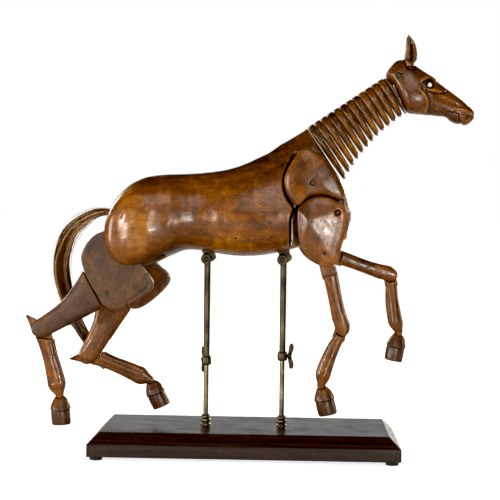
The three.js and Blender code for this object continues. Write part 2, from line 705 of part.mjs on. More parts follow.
function buildForearm() {
  const rows = [[14, 8.8, 7.6, 8], [26, 8.8, 7.3, 8.1], [40, 8, 7.4, 7.8], [55, 7.3, 8, 7.3],
    [67, 7.7, 8.7, 7.2], [76, 8.6, 9, 7.2], ...roundEnd(forearmLength, kneeRadius, 7.1)];
  const shouldered = cut(limbBody(rows), slab([[-30, -24.5], [30, -24.5], [30, 10], [-30, 10]], -20, 16));
  const forked = forkEnd(shouldered, [0, -forearmLength], 7.4, 2.9, -92, 8, 2.1, 6.6);
  return tongueEnd(forked, 0.5, elbowRadius, 3, 27, dowelRadius);
}

function buildForeCannon() {
  const rows = [[4, 7, 6.2, 6.6], [12, 6.5, 6.4, 6.6], [20, 6, 8.6, 6.4], [32, 5.7, 10.2, 6.2],
    [46, 6, 10.6, 6], [54, 6, 9.8, 5.8], [60, 5.4, 7.6, 5.5],
    ...roundEnd(foreCannonLength, fetlockRadius, 5.2)];
  const forked = forkEnd(limbBody(rows), [0, -foreCannonLength], 4.4, 1.9, -50, 72, smallDowel, 4.7);
  return tongueEnd(forked, kneeRadius + arcFit, 7.4, 2.6, 14, 2.1);
}

// Pastern and hoof in one, with a ring at the coronet and a flat sole
function buildHoof() {
  const rows = [[3, 5.4, 5.2, 4.9], [6.5, 8.6, 7.2, 6.4], [11, 10.4, 9.4, 8.4],
    [15, 11.3, 10.6, 9.8], [17.2, 11.4, 10.8, 10.2], [18, 10.7, 10.1, 9.6], [25, 10.9, 10.1, 9.9],
    [32.2, 10.8, 9.4, 9.9], [33.6, 10, 8.4, 9.2]];
  return tongueEnd(limbBody(rows, 2.2, 12), fetlockRadius + arcFit, 4.4, 1.6, 9, smallDowel);
}

// Hind leg, right side

// Outline from the hip pin
const thighOutline = smooth([[-25.5, -10], [-33.3, -17.4], [-43, -21.9], [-51.7, -30.7],
  [-57, -41.6], [-58, -50], [-54.7, -61], [-48, -75.2], [-40.2, -88.2], [-32.5, -98.9],
  [-23.7, -103.2], [-14, -101.8], [-3, -96.7], [9.9, -88.5], [18.6, -81], [20.9, -74],
  [17.3, -66.4], [11.8, -60.2], [7.4, -52], [8.4, -40], [13, -27], [19.5, -13], [22.5, 2],
  [17.6, 14], [8, 21], [-3, 22.4], [-14, 17.6], [-21.6, 7], [-22.8, -3]], 38);
const stifleSeat = [stifle[0] - hip[0], stifle[1] - hip[1]];
const gaskinRest = pose.right.gaskin;

function buildThigh() {
  const mid = -hindlegY;
  const plate = carvedPlate(thighOutline, [-15, -40], [[-plateInner, 0.03], [-plateInner - 1.2, 0],
    [-plateOuter + 1.6, 0], [-plateOuter + 0.6, 0.015], [-plateOuter, 0.05]]);
  const slot = slab(sweptStrip(stifleSeat, 10.4, gaskinRest - 1, gaskinRest + 23, 60),
    mid - 3, mid + 3);
  const pin = dowel(stifleSeat, dowelRadius, -plateOuter + 0.6, -plateInner - 0.6, 16);
  return cut(join(cut(plate, slot), pin), dowel([0, 0], dowelRadius + pinFit, -60, 0));
}

function buildGaskin() {
  const wide = (plateOuter - plateInner) / 2;
  const rows = [[13.3, 11, 33, wide - 0.6], [14.3, 12, 34, wide], [21, 12, 29.7, wide],
    [31, 11.9, 24, wide], [42, 11.8, 18.6, wide - 0.2], [52, 11.8, 15.2, wide - 0.4],
    [64, 12, 13, wide - 0.6], [74, 11.8, 11.8, wide - 0.7],
    ...roundEnd(gaskinLength, hockRadius, wide - 0.8)];
  const forked = forkEnd(limbBody(rows, 3.2, 12), [0, -gaskinLength], 8.6, 3.4, 50, 140, 2.2, 6.4);
  const open = cut(forked, slab([[-40, -gaskinLength + 2], [0, -gaskinLength + 9],
    [0, -gaskinLength - 20], [-40, -gaskinLength - 20]], -3.4, 3.4));
  const rejoined = join(open, dowel([0, -gaskinLength], 2.2, -6.4, 6.4, 16));
  return tongueEnd(rejoined, 0.5, 10, 2.7, 16, dowelRadius);
}

function buildHindCannon() {
  const rows = [[5, 10.6, 10.4, 6.9], [12, 11, 9, 6.9], [20, 9.8, 8.4, 6.7], [31, 9.6, 8.2, 6.4],
    [44, 9.9, 8.4, 6.2], [55, 10, 9.2, 6], [63, 9.4, 9.4, 5.8], [69, 7.4, 7.8, 5.5],
    ...roundEnd(hindCannonLength, fetlockRadius, 5.2)];
  const mitre = slab(sweptStrip([0, 0], hockRadius + arcFit, 180 - hockFold[1], 180 - hockFold[0], 60),
    -20, 20);
  const forked = forkEnd(cut(limbBody(rows), mitre), [0, -hindCannonLength], 4.4, 1.9, -50, 72,
    smallDowel, 4.7);
  const ended = tongueEnd(forked, hockRadius + arcFit, 8.6, 3.1, 17, 2.2);
  const spur = slab([[-5.5, -6.4], [-2.6, 6.8], [-4, 11], [-13, 18.4], [-13.6, 17.6], [-12, 6],
    [-11.3, -4]], -3.1, 3.1);
  return join(ended, spur);
}

// Assembly

function addStem(parent, side, x, collarZ, screwAngle, nodes) {
  piece(parent, `${side}_stem_tube`, buildTube(collarZ, screwAngle), steel);
  piece(parent, `${side}_clamp_collar`, buildCollar(collarZ, screwAngle), steel);
  piece(parent, `${side}_knuckle`, buildKnuckle(nodes.eyeOffset), steel);
  const screw = pivotGroup(parent, `${side}_screw_turn`, 0, 0, collarZ);
  screw.rotation.z = screwAngle;
  piece(screw, `${side}_wing_screw`, buildWingScrew(), steel);
}

function addForeleg(body, side, sign) {
  const angles = pose[side];
  const half = new THREE.Group();
  half.name = `${side}_fore_side`;
  half.scale.y = sign;
  body.add(half);
  const blade = pivotGroup(half, `${side}_blade_swing`, bladePivot[0], 0, bladePivot[1], angles.blade);
  piece(blade, `${side}_shoulder_blade`, buildBlade(), walnut);
  const seat = [shoulder[0] - bladePivot[0], shoulder[1] - bladePivot[1]];
  const arm = pivotGroup(blade, `${side}_shoulder_swing`, seat[0], 0, seat[1]);
  piece(arm, `${side}_upper_arm`, buildArm(), walnut);
  const forearm = pivotGroup(arm, `${side}_elbow_swing`, elbowSeat[0], -forelegY, elbowSeat[1],
    angles.forearm - angles.blade);
  piece(forearm, `${side}_forearm`, buildForearm(), walnut);
  const cannon = pivotGroup(forearm, `${side}_knee_swing`, 0, 0, -forearmLength,
    angles.foreCannon - angles.forearm);
  piece(cannon, `${side}_fore_cannon`, buildForeCannon(), walnut);
  const hoof = pivotGroup(cannon, `${side}_fore_fetlock_swing`, 0, 0, -foreCannonLength,
    angles.foreHoof - angles.foreCannon);
  piece(hoof, `${side}_fore_hoof`, buildHoof(), hoofWood);
}

function addHindleg(body, side, sign) {
  const angles = pose[side];
  const half = new THREE.Group();
  half.name = `${side}_hind_side`;
  half.scale.y = sign;
  body.add(half);
  const thigh = pivotGroup(half, `${side}_hip_swing`, hip[0], 0, hip[1], angles.thigh);
  piece(thigh, `${side}_thigh`, buildThigh(), plateWood);
  const gaskin = pivotGroup(thigh, `${side}_stifle_swing`, stifleSeat[0], -hindlegY, stifleSeat[1],
    angles.gaskin - angles.thigh);
  piece(gaskin, `${side}_gaskin`, buildGaskin(), plateWood);
  const cannon = pivotGroup(gaskin, `${side}_hock_swing`, 0, 0, -gaskinLength,
    angles.hindCannon - angles.gaskin);
  piece(cannon, `${side}_hind_cannon`, buildHindCannon(), walnut);
  const hoof = pivotGroup(cannon, `${side}_hind_fetlock_swing`, 0, 0, -hindCannonLength,
    angles.hindHoof - angles.hindCannon);
  piece(hoof, `${side}_hind_hoof`, buildHoof(), hoofWood);
}

function movedTo(solid, x, z) {
  return solid.transform(new THREE.Matrix4().makeTranslation(-x, 0, -z).elements);
}

function addNeckAndHead(body) {
  let parent = body;
  let last = [0, 0];
  for (let k = 0; k <= discCount; k += 1) {
    const { crest } = neckFace(k);
    const group = pivotGroup(parent, `neck_joint_${k + 1}`, crest[0] - last[0], 0, crest[1] - last[1]);
    if (k < discCount) {
      piece(group, `neck_disc_${String(k + 1).padStart(2, '0')}`,
        movedTo(buildDisc(k), crest[0], crest[1]), walnut);
    } else {
      piece(group, 'neck_top', movedTo(buildNeckTop(), crest[0], crest[1]), walnut);
    }
    parent = group;
    last = crest;
  }
  const head = pivotGroup(parent, 'head_nod', nod[0] - last[0], 0, nod[1] - last[1]);
  piece(head, 'head', movedTo(buildHead(), nod[0], nod[1]), walnut);
  piece(head, 'poll_pin', movedTo(dowel(nod, dowelRadius, -12.6, 12.6, 16), nod[0], nod[1]), plateWood);
  for (const [side, sign] of [['right', 1], ['left', -1]]) {
    const half = new THREE.Group();
    half.name = `${side}_head_side`;
    half.scale.y = sign;
    head.add(half);
    piece(half, `${side}_eye`, movedTo(buildEye(), nod[0], nod[1]), bead);
    const ear = pivotGroup(half, `${side}_ear_turn`, earSeat[0] - nod[0], -earSeat[1],
      earSeat[2] - nod[1]);
    piece(ear, `${side}_ear`, buildEar(), walnut);
  }
}

function assemble() {
  const root = new THREE.Group();
  root.name = 'horse_figure';
  const whole = pivotGroup(root, 'stand', boxShift, 0, 0);
  piece(whole, 'plinth', buildPlinth(), ebonised);
  const corners = [[-1, -1, 'rear_right'], [-1, 1, 'rear_left'], [1, -1, 'front_right'],
    [1, 1, 'front_left']];
  for (const [sx, sy, name] of corners) {
    const pad = turned([[0, 0], [footRadius - 0.6, 0], [footRadius, 0.6], [footRadius, footHeight],
      [0, footHeight]], sx * (plinthLength / 2 - footInset), sy * (plinthDepth / 2 - footInset));
    piece(whole, `foot_${name}`, pad, felt);
  }
  for (const [side, x] of [['rear', rearStemX], ['front', frontStemX]]) {
    piece(whole, `${side}_socket`, buildSocket(x), brass);
    piece(whole, `${side}_stem_rod`, buildRod(x), brass);
  }
  const rear = pivotGroup(whole, 'stand_lift', rearStemX, 0, 0);
  addStem(rear, 'rear', rearStemX, rearCollarZ, rad(116), { eyeOffset: rearPivotX - rearStemX });
  const body = pivotGroup(rear, 'body_tilt', -rearStemX, 0, 0);
  piece(body, 'torso', buildTorso(), walnut);
  piece(body, 'tail', buildTail(), hair);
  piece(body, 'hip_dowel', dowel(hip, dowelRadius, -43.8, 43.8, 20), plateWood);
  piece(body, 'blade_dowel', dowel(bladePivot, dowelRadius, -37.4, 37.4, 20), plateWood);
  for (const [side, x, high] of [['rear', rearPivotX, rearLugTop], ['front', frontPivotX, frontLugTop]]) {
    const lug = pivotGroup(body, `${side}_lug_seat`, x, 0, 0);
    piece(lug, `${side}_belly_lug`, buildLug(high), steel);
  }
  const front = pivotGroup(body, 'front_stem_swing', frontStemX, 0, 0);
  addStem(front, 'front', frontStemX, frontCollarZ, 0, { eyeOffset: frontPivotX - frontStemX });
  for (const [side, sign] of [['right', 1], ['left', -1]]) {
    addForeleg(body, side, sign);
    addHindleg(body, side, sign);
  }
  addNeckAndHead(body);
  return root;
}

export default assemble();
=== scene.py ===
import math

import bmesh
import bpy
import numpy as np
from mathutils import Matrix, Vector
from mathutils.bvhtree import BVHTree
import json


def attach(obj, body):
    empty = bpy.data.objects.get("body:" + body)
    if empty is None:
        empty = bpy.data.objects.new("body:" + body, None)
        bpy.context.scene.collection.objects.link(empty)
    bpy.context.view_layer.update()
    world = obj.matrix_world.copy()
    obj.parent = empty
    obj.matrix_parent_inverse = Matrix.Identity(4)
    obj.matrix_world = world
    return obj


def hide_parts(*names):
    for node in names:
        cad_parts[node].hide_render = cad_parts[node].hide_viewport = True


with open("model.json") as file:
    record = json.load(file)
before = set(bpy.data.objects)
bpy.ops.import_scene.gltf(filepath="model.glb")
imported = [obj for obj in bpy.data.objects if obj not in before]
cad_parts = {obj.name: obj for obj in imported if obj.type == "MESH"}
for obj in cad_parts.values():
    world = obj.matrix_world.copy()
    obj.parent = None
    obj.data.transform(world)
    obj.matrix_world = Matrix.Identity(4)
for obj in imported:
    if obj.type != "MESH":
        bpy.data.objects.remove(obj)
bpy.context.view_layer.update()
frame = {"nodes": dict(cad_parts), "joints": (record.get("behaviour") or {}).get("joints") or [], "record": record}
scene = bpy.context.scene
mm = 0.001
boxShift = -2.6  # mm along x, from the side view's places to the frame
shift = Matrix.Translation((boxShift * mm, 0, 0))
jointOf = {joint["child"]: joint for joint in frame["joints"]}
bodyOf = {node: body for body, nodes in frame["record"]["behaviour"]["bodies"].items() for node in nodes}


# Material helpers

def fromHex(value):  # sRGB hex to the linear colour that shaders read
    parts = [((value >> bits) & 255) / 255 for bits in (16, 8, 0)]
    return [c / 12.92 if c <= 0.04045 else ((c + 0.055) / 1.055) ** 2.4 for c in parts] + [1]


def setSockets(owner, node, sockets):  # each socket takes a link or a constant
    for key, value in sockets.items():
        if isinstance(value, bpy.types.NodeSocket):
            owner.node_tree.links.new(value, node.inputs[key])
        else:
            node.inputs[key].default_value = value


def addNode(owner, kind, sockets, stops=(), **settings):
    node = owner.node_tree.nodes.new("ShaderNode" + kind)
    for key, value in settings.items():
        setattr(node, key, value)
    setSockets(owner, node, sockets)
    for i, (position, colour) in enumerate(stops):  # a ramp's stops, as hex colours or shares of white
        elements = node.color_ramp.elements
        element = elements[i] if i < 2 else elements.new(position)
        element.position = position
        element.color = fromHex(colour) if isinstance(colour, int) else [colour] * 3 + [1]
    return node


def newMaterial(name):
    material = bpy.data.materials.new(name)
    material.use_nodes = True
    return material, material.node_tree.nodes["Principled BSDF"]


# Cloudy pattern whose patches are about so many mm long and wide, in a whole number per metre
def mottle(owner, place, length, width, detail=4.0, roughness=0.6, distortion=0.0):
    scale = [round(1000 / size) for size in (length, width, width)]
    spread = addNode(owner, "Mapping", {"Vector": place, "Scale": scale}).outputs["Vector"]
    return addNode(owner, "TexNoise", {"Vector": spread, "Scale": 1.0, "Detail": detail,
                   "Roughness": roughness, "Distortion": distortion}).outputs["Fac"]


# Paints over the colour where a pattern is bright after its ramp; 6, 7 and 2 are colour sockets
def paintOver(owner, colour, source, stops, amount, paint):
    mask = addNode(owner, "ValToRGB", {"Fac": source}, stops).outputs["Color"]
    strength = addNode(owner, "Math", {0: mask, 1: amount}, operation="MULTIPLY").outputs[0]
    return addNode(owner, "Mix", {0: strength, 6: colour, 7: fromHex(paint)}, data_type="RGBA").outputs[2]


# One pattern takes the roughness from its first value to its second, the other gives relief, in mm
def finishSurface(material, shader, colour, pattern, roughness, relief, strength, height, **others):
    rough = addNode(material, "MapRange", {"Value": pattern, "From Min": 0.3, "From Max": 0.7,
                    "To Min": roughness[0], "To Max": roughness[1]}).outputs["Result"]
    bump = addNode(material, "Bump", {"Strength": strength, "Distance": height * mm,
                   "Height": relief}).outputs["Normal"]
    setSockets(material, shader, {"Base Color": colour, "Roughness": rough, "Normal": bump, **others})


# Carved wood: walnut, hand carved, stained, waxed and rubbed for a century.
# Stain lies dark in the pores; hollows are painted dark as stain and painted shade, and edges and crowns are
# painted pale as wear and painted highlight.

figure = {
    "clouds": 0.95, "drift": 0.5, "curl": 0.2, "tone": 0.25,  # how far each layer moves the tone
    "poreStops": [(0.36, 1.0), (0.44, 0.0)],
    # The pale paint on edges and crowns is wear and painted highlight; the dark paint in hollows is painted shade
    # and stain
    "specks": 0.75, "highlightAndTone": 0.3, "shadeAndStainPaint": 0.93,  # how strongly these paint over it
    "speckColour": 0x170903, "shadeAndStainColour": 0x120803,
    "gloss": 0.05, "dull": 0.08,  # roughness either side of the wood's own
    "poreBump": -0.6, "bump": 0.4, "bumpHeight": 0.16,
    "waxIor": 1.46,
}


def carvedWood(name, tones, roughness, poreDepth, ringShare):
    material, shader = newMaterial(name)
    grain = addNode(material, "Attribute", {}, attribute_name="grainPlace").outputs["Vector"]
    shadeAndStain = addNode(material, "Attribute", {}, attribute_name="shadeAndStain").outputs["Fac"]
    tone = addNode(material, "Attribute", {}, attribute_name="tone").outputs["Fac"]
    clouds = mottle(material, grain, 21.7, 13.5, 7.0, 0.68, 0.7)
    drift = mottle(material, grain, 100, 59, 2.0, 0.5)
    rings = mottle(material, grain, 71.4, 4.35, 3.0, 0.5, 0.5)
    curl = mottle(material, grain, 4.35, 33.3, 2.0, 0.5, 0.3)
    pores = mottle(material, grain, 3.85, 0.6667, 2.0, 0.5)  # coarser than walnut's, so that they show
    specks = mottle(material, grain, 3.33, 2.63, 2.0, 0.6)
    sheen = mottle(material, grain, 22.2, 14.3)

    level = 0.5
    for layer, weight in ((clouds, figure["clouds"]), (drift, figure["drift"]), (rings, ringShare),
                          (curl, figure["curl"])):
        centred = addNode(material, "Math", {0: layer, 1: 0.5}, operation="SUBTRACT").outputs[0]
        level = addNode(material, "Math", {0: centred, 1: weight, 2: level},
                        operation="MULTIPLY_ADD").outputs[0]
    # The tone attribute holds random tone and grain, and the marks' painted highlights and painted shade
    level = addNode(material, "Math", {0: tone, 1: figure["tone"], 2: level},
                    operation="MULTIPLY_ADD").outputs[0]
    deep, body, warm, pale = tones
    colour = addNode(material, "ValToRGB", {"Fac": level},
                     [(0.24, deep), (0.46, body), (0.6, warm), (0.86, pale)]).outputs["Color"]
    # Pores and specks are dark stain; the last two paint wear and painted highlight on crowns, and painted shade
    # and stain in hollows
    for source, stops, amount, paint in (
            (pores, figure["poreStops"], poreDepth, deep),
            (specks, [(0.31, 1.0), (0.35, 0.0)], figure["specks"], figure["speckColour"]),
            (shadeAndStain, [(0.18, 1.0), (0.42, 0.0)], figure["highlightAndTone"], pale),
            (shadeAndStain, [(0.55, 0.0), (0.85, 1.0)], figure["shadeAndStainPaint"], figure["shadeAndStainColour"])):
        colour = paintOver(material, colour, source, stops, amount, paint)

    poreMask = addNode(material, "ValToRGB", {"Fac": pores}, figure["poreStops"]).outputs["Color"]
    grit = addNode(material, "Math", {0: poreMask, 1: figure["poreBump"], 2: clouds},
                   operation="MULTIPLY_ADD").outputs[0]
    sheenRange = (roughness - figure["gloss"], roughness + figure["dull"])
    finishSurface(material, shader, colour, sheen, sheenRange, grit, figure["bump"],
                  figure["bumpHeight"], IOR=figure["waxIor"])
    return material


# Tones from deep to pale, roughness, darkness of the pores and share of the rings
polishedWalnut = carvedWood("polishedWalnut", (0x331d0b, 0x65390f, 0x80490f, 0xab7226), 0.21, 0.55, 0.26)
rubbedWalnut = carvedWood("rubbedWalnut", (0x2a1506, 0x51310e, 0x6a4218, 0x8a5d2a), 0.42, 0.8, 0.2)
darkHoofWood = carvedWood("darkHoofWood", (0x241004, 0x4c2a0d, 0x663d15, 0x926330), 0.3, 0.45, 0.2)
print("wood finishes ready")


# Ebonised plinth: black-brown stain under French polish, glossy, with wipe marks and dust
def ebonisedPolish():
    material, shader = newMaterial("ebonisedPolish")
    place = addNode(material, "TexCoord", {}).outputs["Object"]
    streak = mottle(material, place, 71.4, 2.38, 5.0)
    dust = mottle(material, place, 1.111, 1.111, 3.0, 0.7)
    wipe = mottle(material, place, 33.3, 18.2, 6.0, 0.65)
    colour = addNode(material, "ValToRGB", {"Fac": streak},
                     [(0.35, 0x1f150f), (0.6, 0x33201a), (0.8, 0x4a3027)]).outputs["Color"]
    colour = paintOver(material, colour, dust, [(0.62, 0.0), (0.72, 1.0)], 0.3, 0x8d8074)
    finishSurface(material, shader, colour, wipe, (0.14, 0.3), streak, 0.2, 0.1, IOR=1.52)
    return material


# Drawn and turned metal: bronze-toned steel or brass gone dull, bright where fingers reach
def agedMetal(name, darkTone, dull, bright, roughness):
    material, shader = newMaterial(name)
    place = addNode(material, "TexCoord", {}).outputs["Object"]
    patina = mottle(material, place, 25, 25, 3.0, 0.5, 0.4)
    bloom = mottle(material, place, 1.111, 1.111, 3.0)
    lines = mottle(material, place, 0.7143, 25, 2.0)
    level = addNode(material, "Math", {0: bloom, 1: 0.3, 2: patina}, operation="MULTIPLY_ADD").outputs[0]
    colour = addNode(material, "ValToRGB", {"Fac": level},
                     [(0.4, darkTone), (0.62, dull), (0.95, bright)]).outputs["Color"]
    finishSurface(material, shader, colour, patina, (roughness + 0.12, roughness - 0.05), lines, 0.15, 0.04,
                  Metallic=1.0)
    return material


# Eye bead: opaque milk glass, clear gloss over a warm white
beadGlass, beadShader = newMaterial("milkBead")
setSockets(beadGlass, beadShader, {"Base Color": fromHex(0xf6f2ea), "Roughness": 0.12, "Coat Weight": 0.5})


# Felt pads: black wool felt, dull and faintly furry
def blackFelt():
    material, shader = newMaterial("blackFelt")
    place = addNode(material, "TexCoord", {}).outputs["Object"]
    fibres = mottle(material, place, 0.4, 0.4, 3.0)
    colour = addNode(material, "ValToRGB", {"Fac": fibres},
                     [(0.35, 0x0c0b0a), (0.7, 0x2a2724)]).outputs["Color"]
    setSockets(material, shader, {"Base Color": colour, "Roughness": 0.95, "Sheen Weight": 0.4})
    return material


# Horsehair: dark brown to straw, each strand with its own tone, faintly glossy
def horsehair():
    material, shader = newMaterial("horsehair")
    tone = addNode(material, "Attribute", {}, attribute_name="hairTone").outputs["Fac"]
    colour = addNode(material, "ValToRGB", {"Fac": tone},
                     [(0.0, 0x1b0d05), (0.3, 0x4a2a10), (0.55, 0x875626), (0.8, 0xc9985c),
                      (1.0, 0xecd0a4)]).outputs["Color"]
    setSockets(material, shader, {"Base Color": colour, "Roughness": 0.3, "IOR": 1.55})
    return material


padFelt = blackFelt()
plinthPolish = ebonisedPolish()
agedSteel = agedMetal("agedSteel", 0x322c23, 0x443c30, 0x6c6352, 0.36)
agedBrass = agedMetal("agedBrass", 0x3f382c, 0x5c5444, 0x847b64, 0.32)


# Lofted guides: the true curved surfaces that the carved meshes are drawn to

def tween(rows, steps):  # smooth rows between the given ones
    data = np.array([np.hstack([np.ravel(cell) for cell in row]) for row in rows], float)
    last = len(data) - 1
    dense = []
    for i in range(last):
        a, b, c, d = data[max(i - 1, 0)], data[i], data[i + 1], data[min(i + 2, last)]
        for t in np.arange(steps) / steps:
            dense.append(0.5 * (2 * b + (c - a) * t + (2 * a - 5 * b + 4 * c - d) * t * t
                                + (3 * b - a - 3 * c + d) * t ** 3))
    dense.append(data[last])
    return dense


def bend(value, power):  # squares a circle's sine or cosine off; a power of 2 leaves it round
    return math.copysign(abs(value) ** (2 / power), value)


def skin(rings):  # closed bmesh over rings of points, in metres
    bm = bmesh.new()
    loops = []
    for ring in rings:
        loop = bmesh.ops.create_circle(bm, segments=len(ring), radius=1)["verts"]
        for vert, point in zip(loop, ring):
            vert.co = point
        loops.append([bm.edges.get((loop[i - 1], loop[i])) for i in range(len(loop))])
    for lower, upper in zip(loops[:-1], loops[1:]):
        bmesh.ops.bridge_loops(bm, edges=lower + upper)
    bmesh.ops.holes_fill(bm, edges=[edge for edge in bm.edges if edge.is_boundary], sides=0)
    bmesh.ops.recalc_face_normals(bm, faces=bm.faces)
    return bm


def unitRing(sides):
    return [(math.cos(2 * math.pi * i / sides), math.sin(2 * math.pi * i / sides)) for i in range(sides)]


# Rows are top x and z, bottom x and z, half width, squareness and taper towards the top
def ovalGuide(rows, place, sides=48, steps=4):
    rings = []
    for xTop, zTop, xLow, zLow, half, power, taper in tween(rows, steps):
        ring = []
        for cosine, sine in unitRing(sides):
            up, side = bend(cosine, power), bend(sine, power)
            point = Vector(((xTop + xLow) / 2 + (xTop - xLow) / 2 * up, side * half * (1 - taper * up),
                            (zTop + zLow) / 2 + (zTop - zLow) / 2 * up))
            ring.append(place @ (point * mm))
        rings.append(ring)
    return skin(rings)


def plateGuide(plate, place, sides=150, fine=12):  # the outline at each depth, drawn in towards the crown
    points = np.array(plate["outline"], float)
    loop = np.vstack([points[-1:], points, points[:2]])
    dense = np.array(tween(loop, fine))[fine:-fine]
    walk = np.concatenate([[0], np.cumsum(np.linalg.norm(np.diff(dense, axis=0), axis=1))])
    even = np.linspace(0, walk[-1], sides, endpoint=False)
    rim = np.stack([np.interp(even, walk, dense[:, i]) for i in (0, 1)], axis=1)
    rings = []
    for y, share in tween(plate["rows"], 3):
        ring = rim + (np.array(plate["crown"]) - rim) * share
        rings.append([place @ (Vector((x, y, z)) * mm) for x, z in ring])
    return skin(rings)


# Carving: a solid node's form is remeshed finely, drawn to its guide, sanded and marked

carving = {
    "weld": 2e-5,  # metres, joins the solid's loose triangles
    "facing": 0.6,  # a guide only draws what faces nearly the same way
    "sandStep": 0.5,
    "rippleWaves": 7, "rippleLength": 14,
    "hollowRounds": ((6, 0.6), (24, 0.4)),  # rounds of softening and their weight, fine and then broad
    "hollowStep": 0.6, "hollowGain": 0.55,
    "toneSpread": 0.12,  # from piece to piece
    # a peg's darkening is dark end grain and painted shade in its dish
    "pegRadius": 2.7, "pegDepth": 0.8, "pegStainAndShade": 0.62,
}


def addObject(name, data):
    thing = bpy.data.objects.new(name, data)
    scene.collection.objects.link(thing)
    return thing


def finished(thing):  # a scratch object's mesh with its modifiers applied
    mesh = bpy.data.meshes.new_from_object(thing.evaluated_get(bpy.context.evaluated_depsgraph_get()))
    bpy.data.objects.remove(thing)
    return mesh


def addPiece(name, mesh, material, node):
    mesh.materials.clear()
    mesh.materials.append(material)
    piece = addObject(name, mesh)
    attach(piece, bodyOf[node])
    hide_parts(node)


def readRows(items, key, width, kind):
    rows = np.zeros(len(items) * width, kind)
    items.foreach_get(key, rows)
    return rows.reshape(-1, width)


def readNormals(mesh):
    return readRows(mesh.vertex_normals, "vector", 3, np.float32).astype(float)


def readEdges(mesh):
    return readRows(mesh.edges, "vertices", 2, np.int32)


def writePoints(mesh, points):
    mesh.vertices.foreach_set("co", points.ravel())
    mesh.update()


def writeAttribute(mesh, name, kind, values):
    attribute = mesh.attributes.new(name, kind, "POINT")
    attribute.data.foreach_set("vector" if kind == "FLOAT_VECTOR" else "value",
                               np.ravel(values).astype(np.float32))


def dropCrumbs(mesh):  # the remesh can leave a few loose faces at a sharp edge
    edges = readEdges(mesh)
    island, before = np.arange(len(mesh.vertices)), None
    while before is None or (island != before).any():
        before = island.copy()
        np.minimum.at(island, edges[:, 0], before[edges[:, 1]])
        np.minimum.at(island, edges[:, 1], before[edges[:, 0]])
        island = island[island]
    crumbs = island != np.bincount(island).argmax()
    if crumbs.any():
        bm = bmesh.new()
        bm.from_mesh(mesh)
        loose = [vert for vert, crumb in zip(list(bm.verts), crumbs) if crumb]
        bmesh.ops.delete(bm, geom=loose, context="VERTS")
        bm.to_mesh(mesh)
        bm.free()


def remeshed(node, voxel):
    source = bmesh.new()
    source.from_mesh(frame["nodes"][node].data)
    bmesh.ops.remove_doubles(source, verts=source.verts, dist=carving["weld"])
    rough = bpy.data.meshes.new("rough")
    source.to_mesh(rough)
    source.free()
    block = addObject("block", rough)
    remesh = block.modifiers.new("remesh", "REMESH")
    remesh.mode = "VOXEL"
    remesh.voxel_size = voxel * mm
    remesh.use_smooth_shade = True
    mesh = finished(block)
    bpy.data.meshes.remove(rough)
    dropCrumbs(mesh)
    return mesh


def relax(points, edges, step, rounds):  # draws each point towards the middle of its neighbours
    counts = np.bincount(edges.ravel(), minlength=len(points)).clip(1)[:, None]
    for _ in range(rounds):
        total = np.stack([np.bincount(edges[:, 0], points[edges[:, 1], i], len(points))
                          + np.bincount(edges[:, 1], points[edges[:, 0], i], len(points))
                          for i in range(3)], axis=1)
        points = points + step * (total / counts - points)
    return points


def drawTo(guide, points, normals, reach):
    tree = BVHTree.FromBMesh(guide)
    for i, (point, normal) in enumerate(zip(points, normals)):
        near, facing, _, _ = tree.find_nearest(point, reach * mm)
        if near and facing.dot(Vector(normal)) > carving["facing"]:
            points[i] = near
    guide.free()


# Marks give depth in mm, darkening from stain and painted shade, and tone that holds painted highlights and
# painted shade as well as grain, from places in the piece's own frame
def cutMarks(mesh, points, place, marks):
    toOwn = place.inverted()
    own = np.array(toOwn.to_3x3()) @ points.T + np.array(toOwn.translation)[:, None]
    depth, darkTone, shade = marks(*(own / mm))
    points += readNormals(mesh) * depth[:, None] * mm
    writePoints(mesh, points)
    return darkTone, shade


def ripple(points, seed):  # gentle unevenness of hand carving, from a few crossed waves
    rng = np.random.default_rng(seed)
    total = np.zeros(len(points))
    for _ in range(carving["rippleWaves"]):
        heading = rng.normal(size=3)
        wave = carving["rippleLength"] * rng.uniform(0.6, 1.6) * mm
        heading /= np.linalg.norm(heading) * wave / (2 * math.pi)
        total += np.sin(points @ heading + rng.uniform(0, 6.3))
    return total / carving["rippleWaves"]


def hollowness(points, normals, edges, voxel):  # over 0 in a hollow, under 0 on a crown or an edge
    softened, hollow = points, np.zeros(len(points))
    for rounds, weight in carving["hollowRounds"]:
        softened = relax(softened, edges, carving["hollowStep"], rounds)
        hollow += weight * np.einsum("ij,ij->i", softened - points, normals) / (voxel * mm)
    return hollow


def alongGrain(points, grain):  # places along the grain, sideways, and across it
    away = points - points.mean(axis=0)
    if grain is None:  # the grain runs the longest way
        _, _, axes = np.linalg.svd(away[::7, [0, 2]], full_matrices=False)
        grain = math.atan2(axes[0][1], axes[0][0])
    along = away[:, 0] * math.cos(grain) + away[:, 2] * math.sin(grain)
    across = away[:, 2] * math.cos(grain) - away[:, 0] * math.sin(grain)
    return np.stack([along, away[:, 1], across], axis=1)


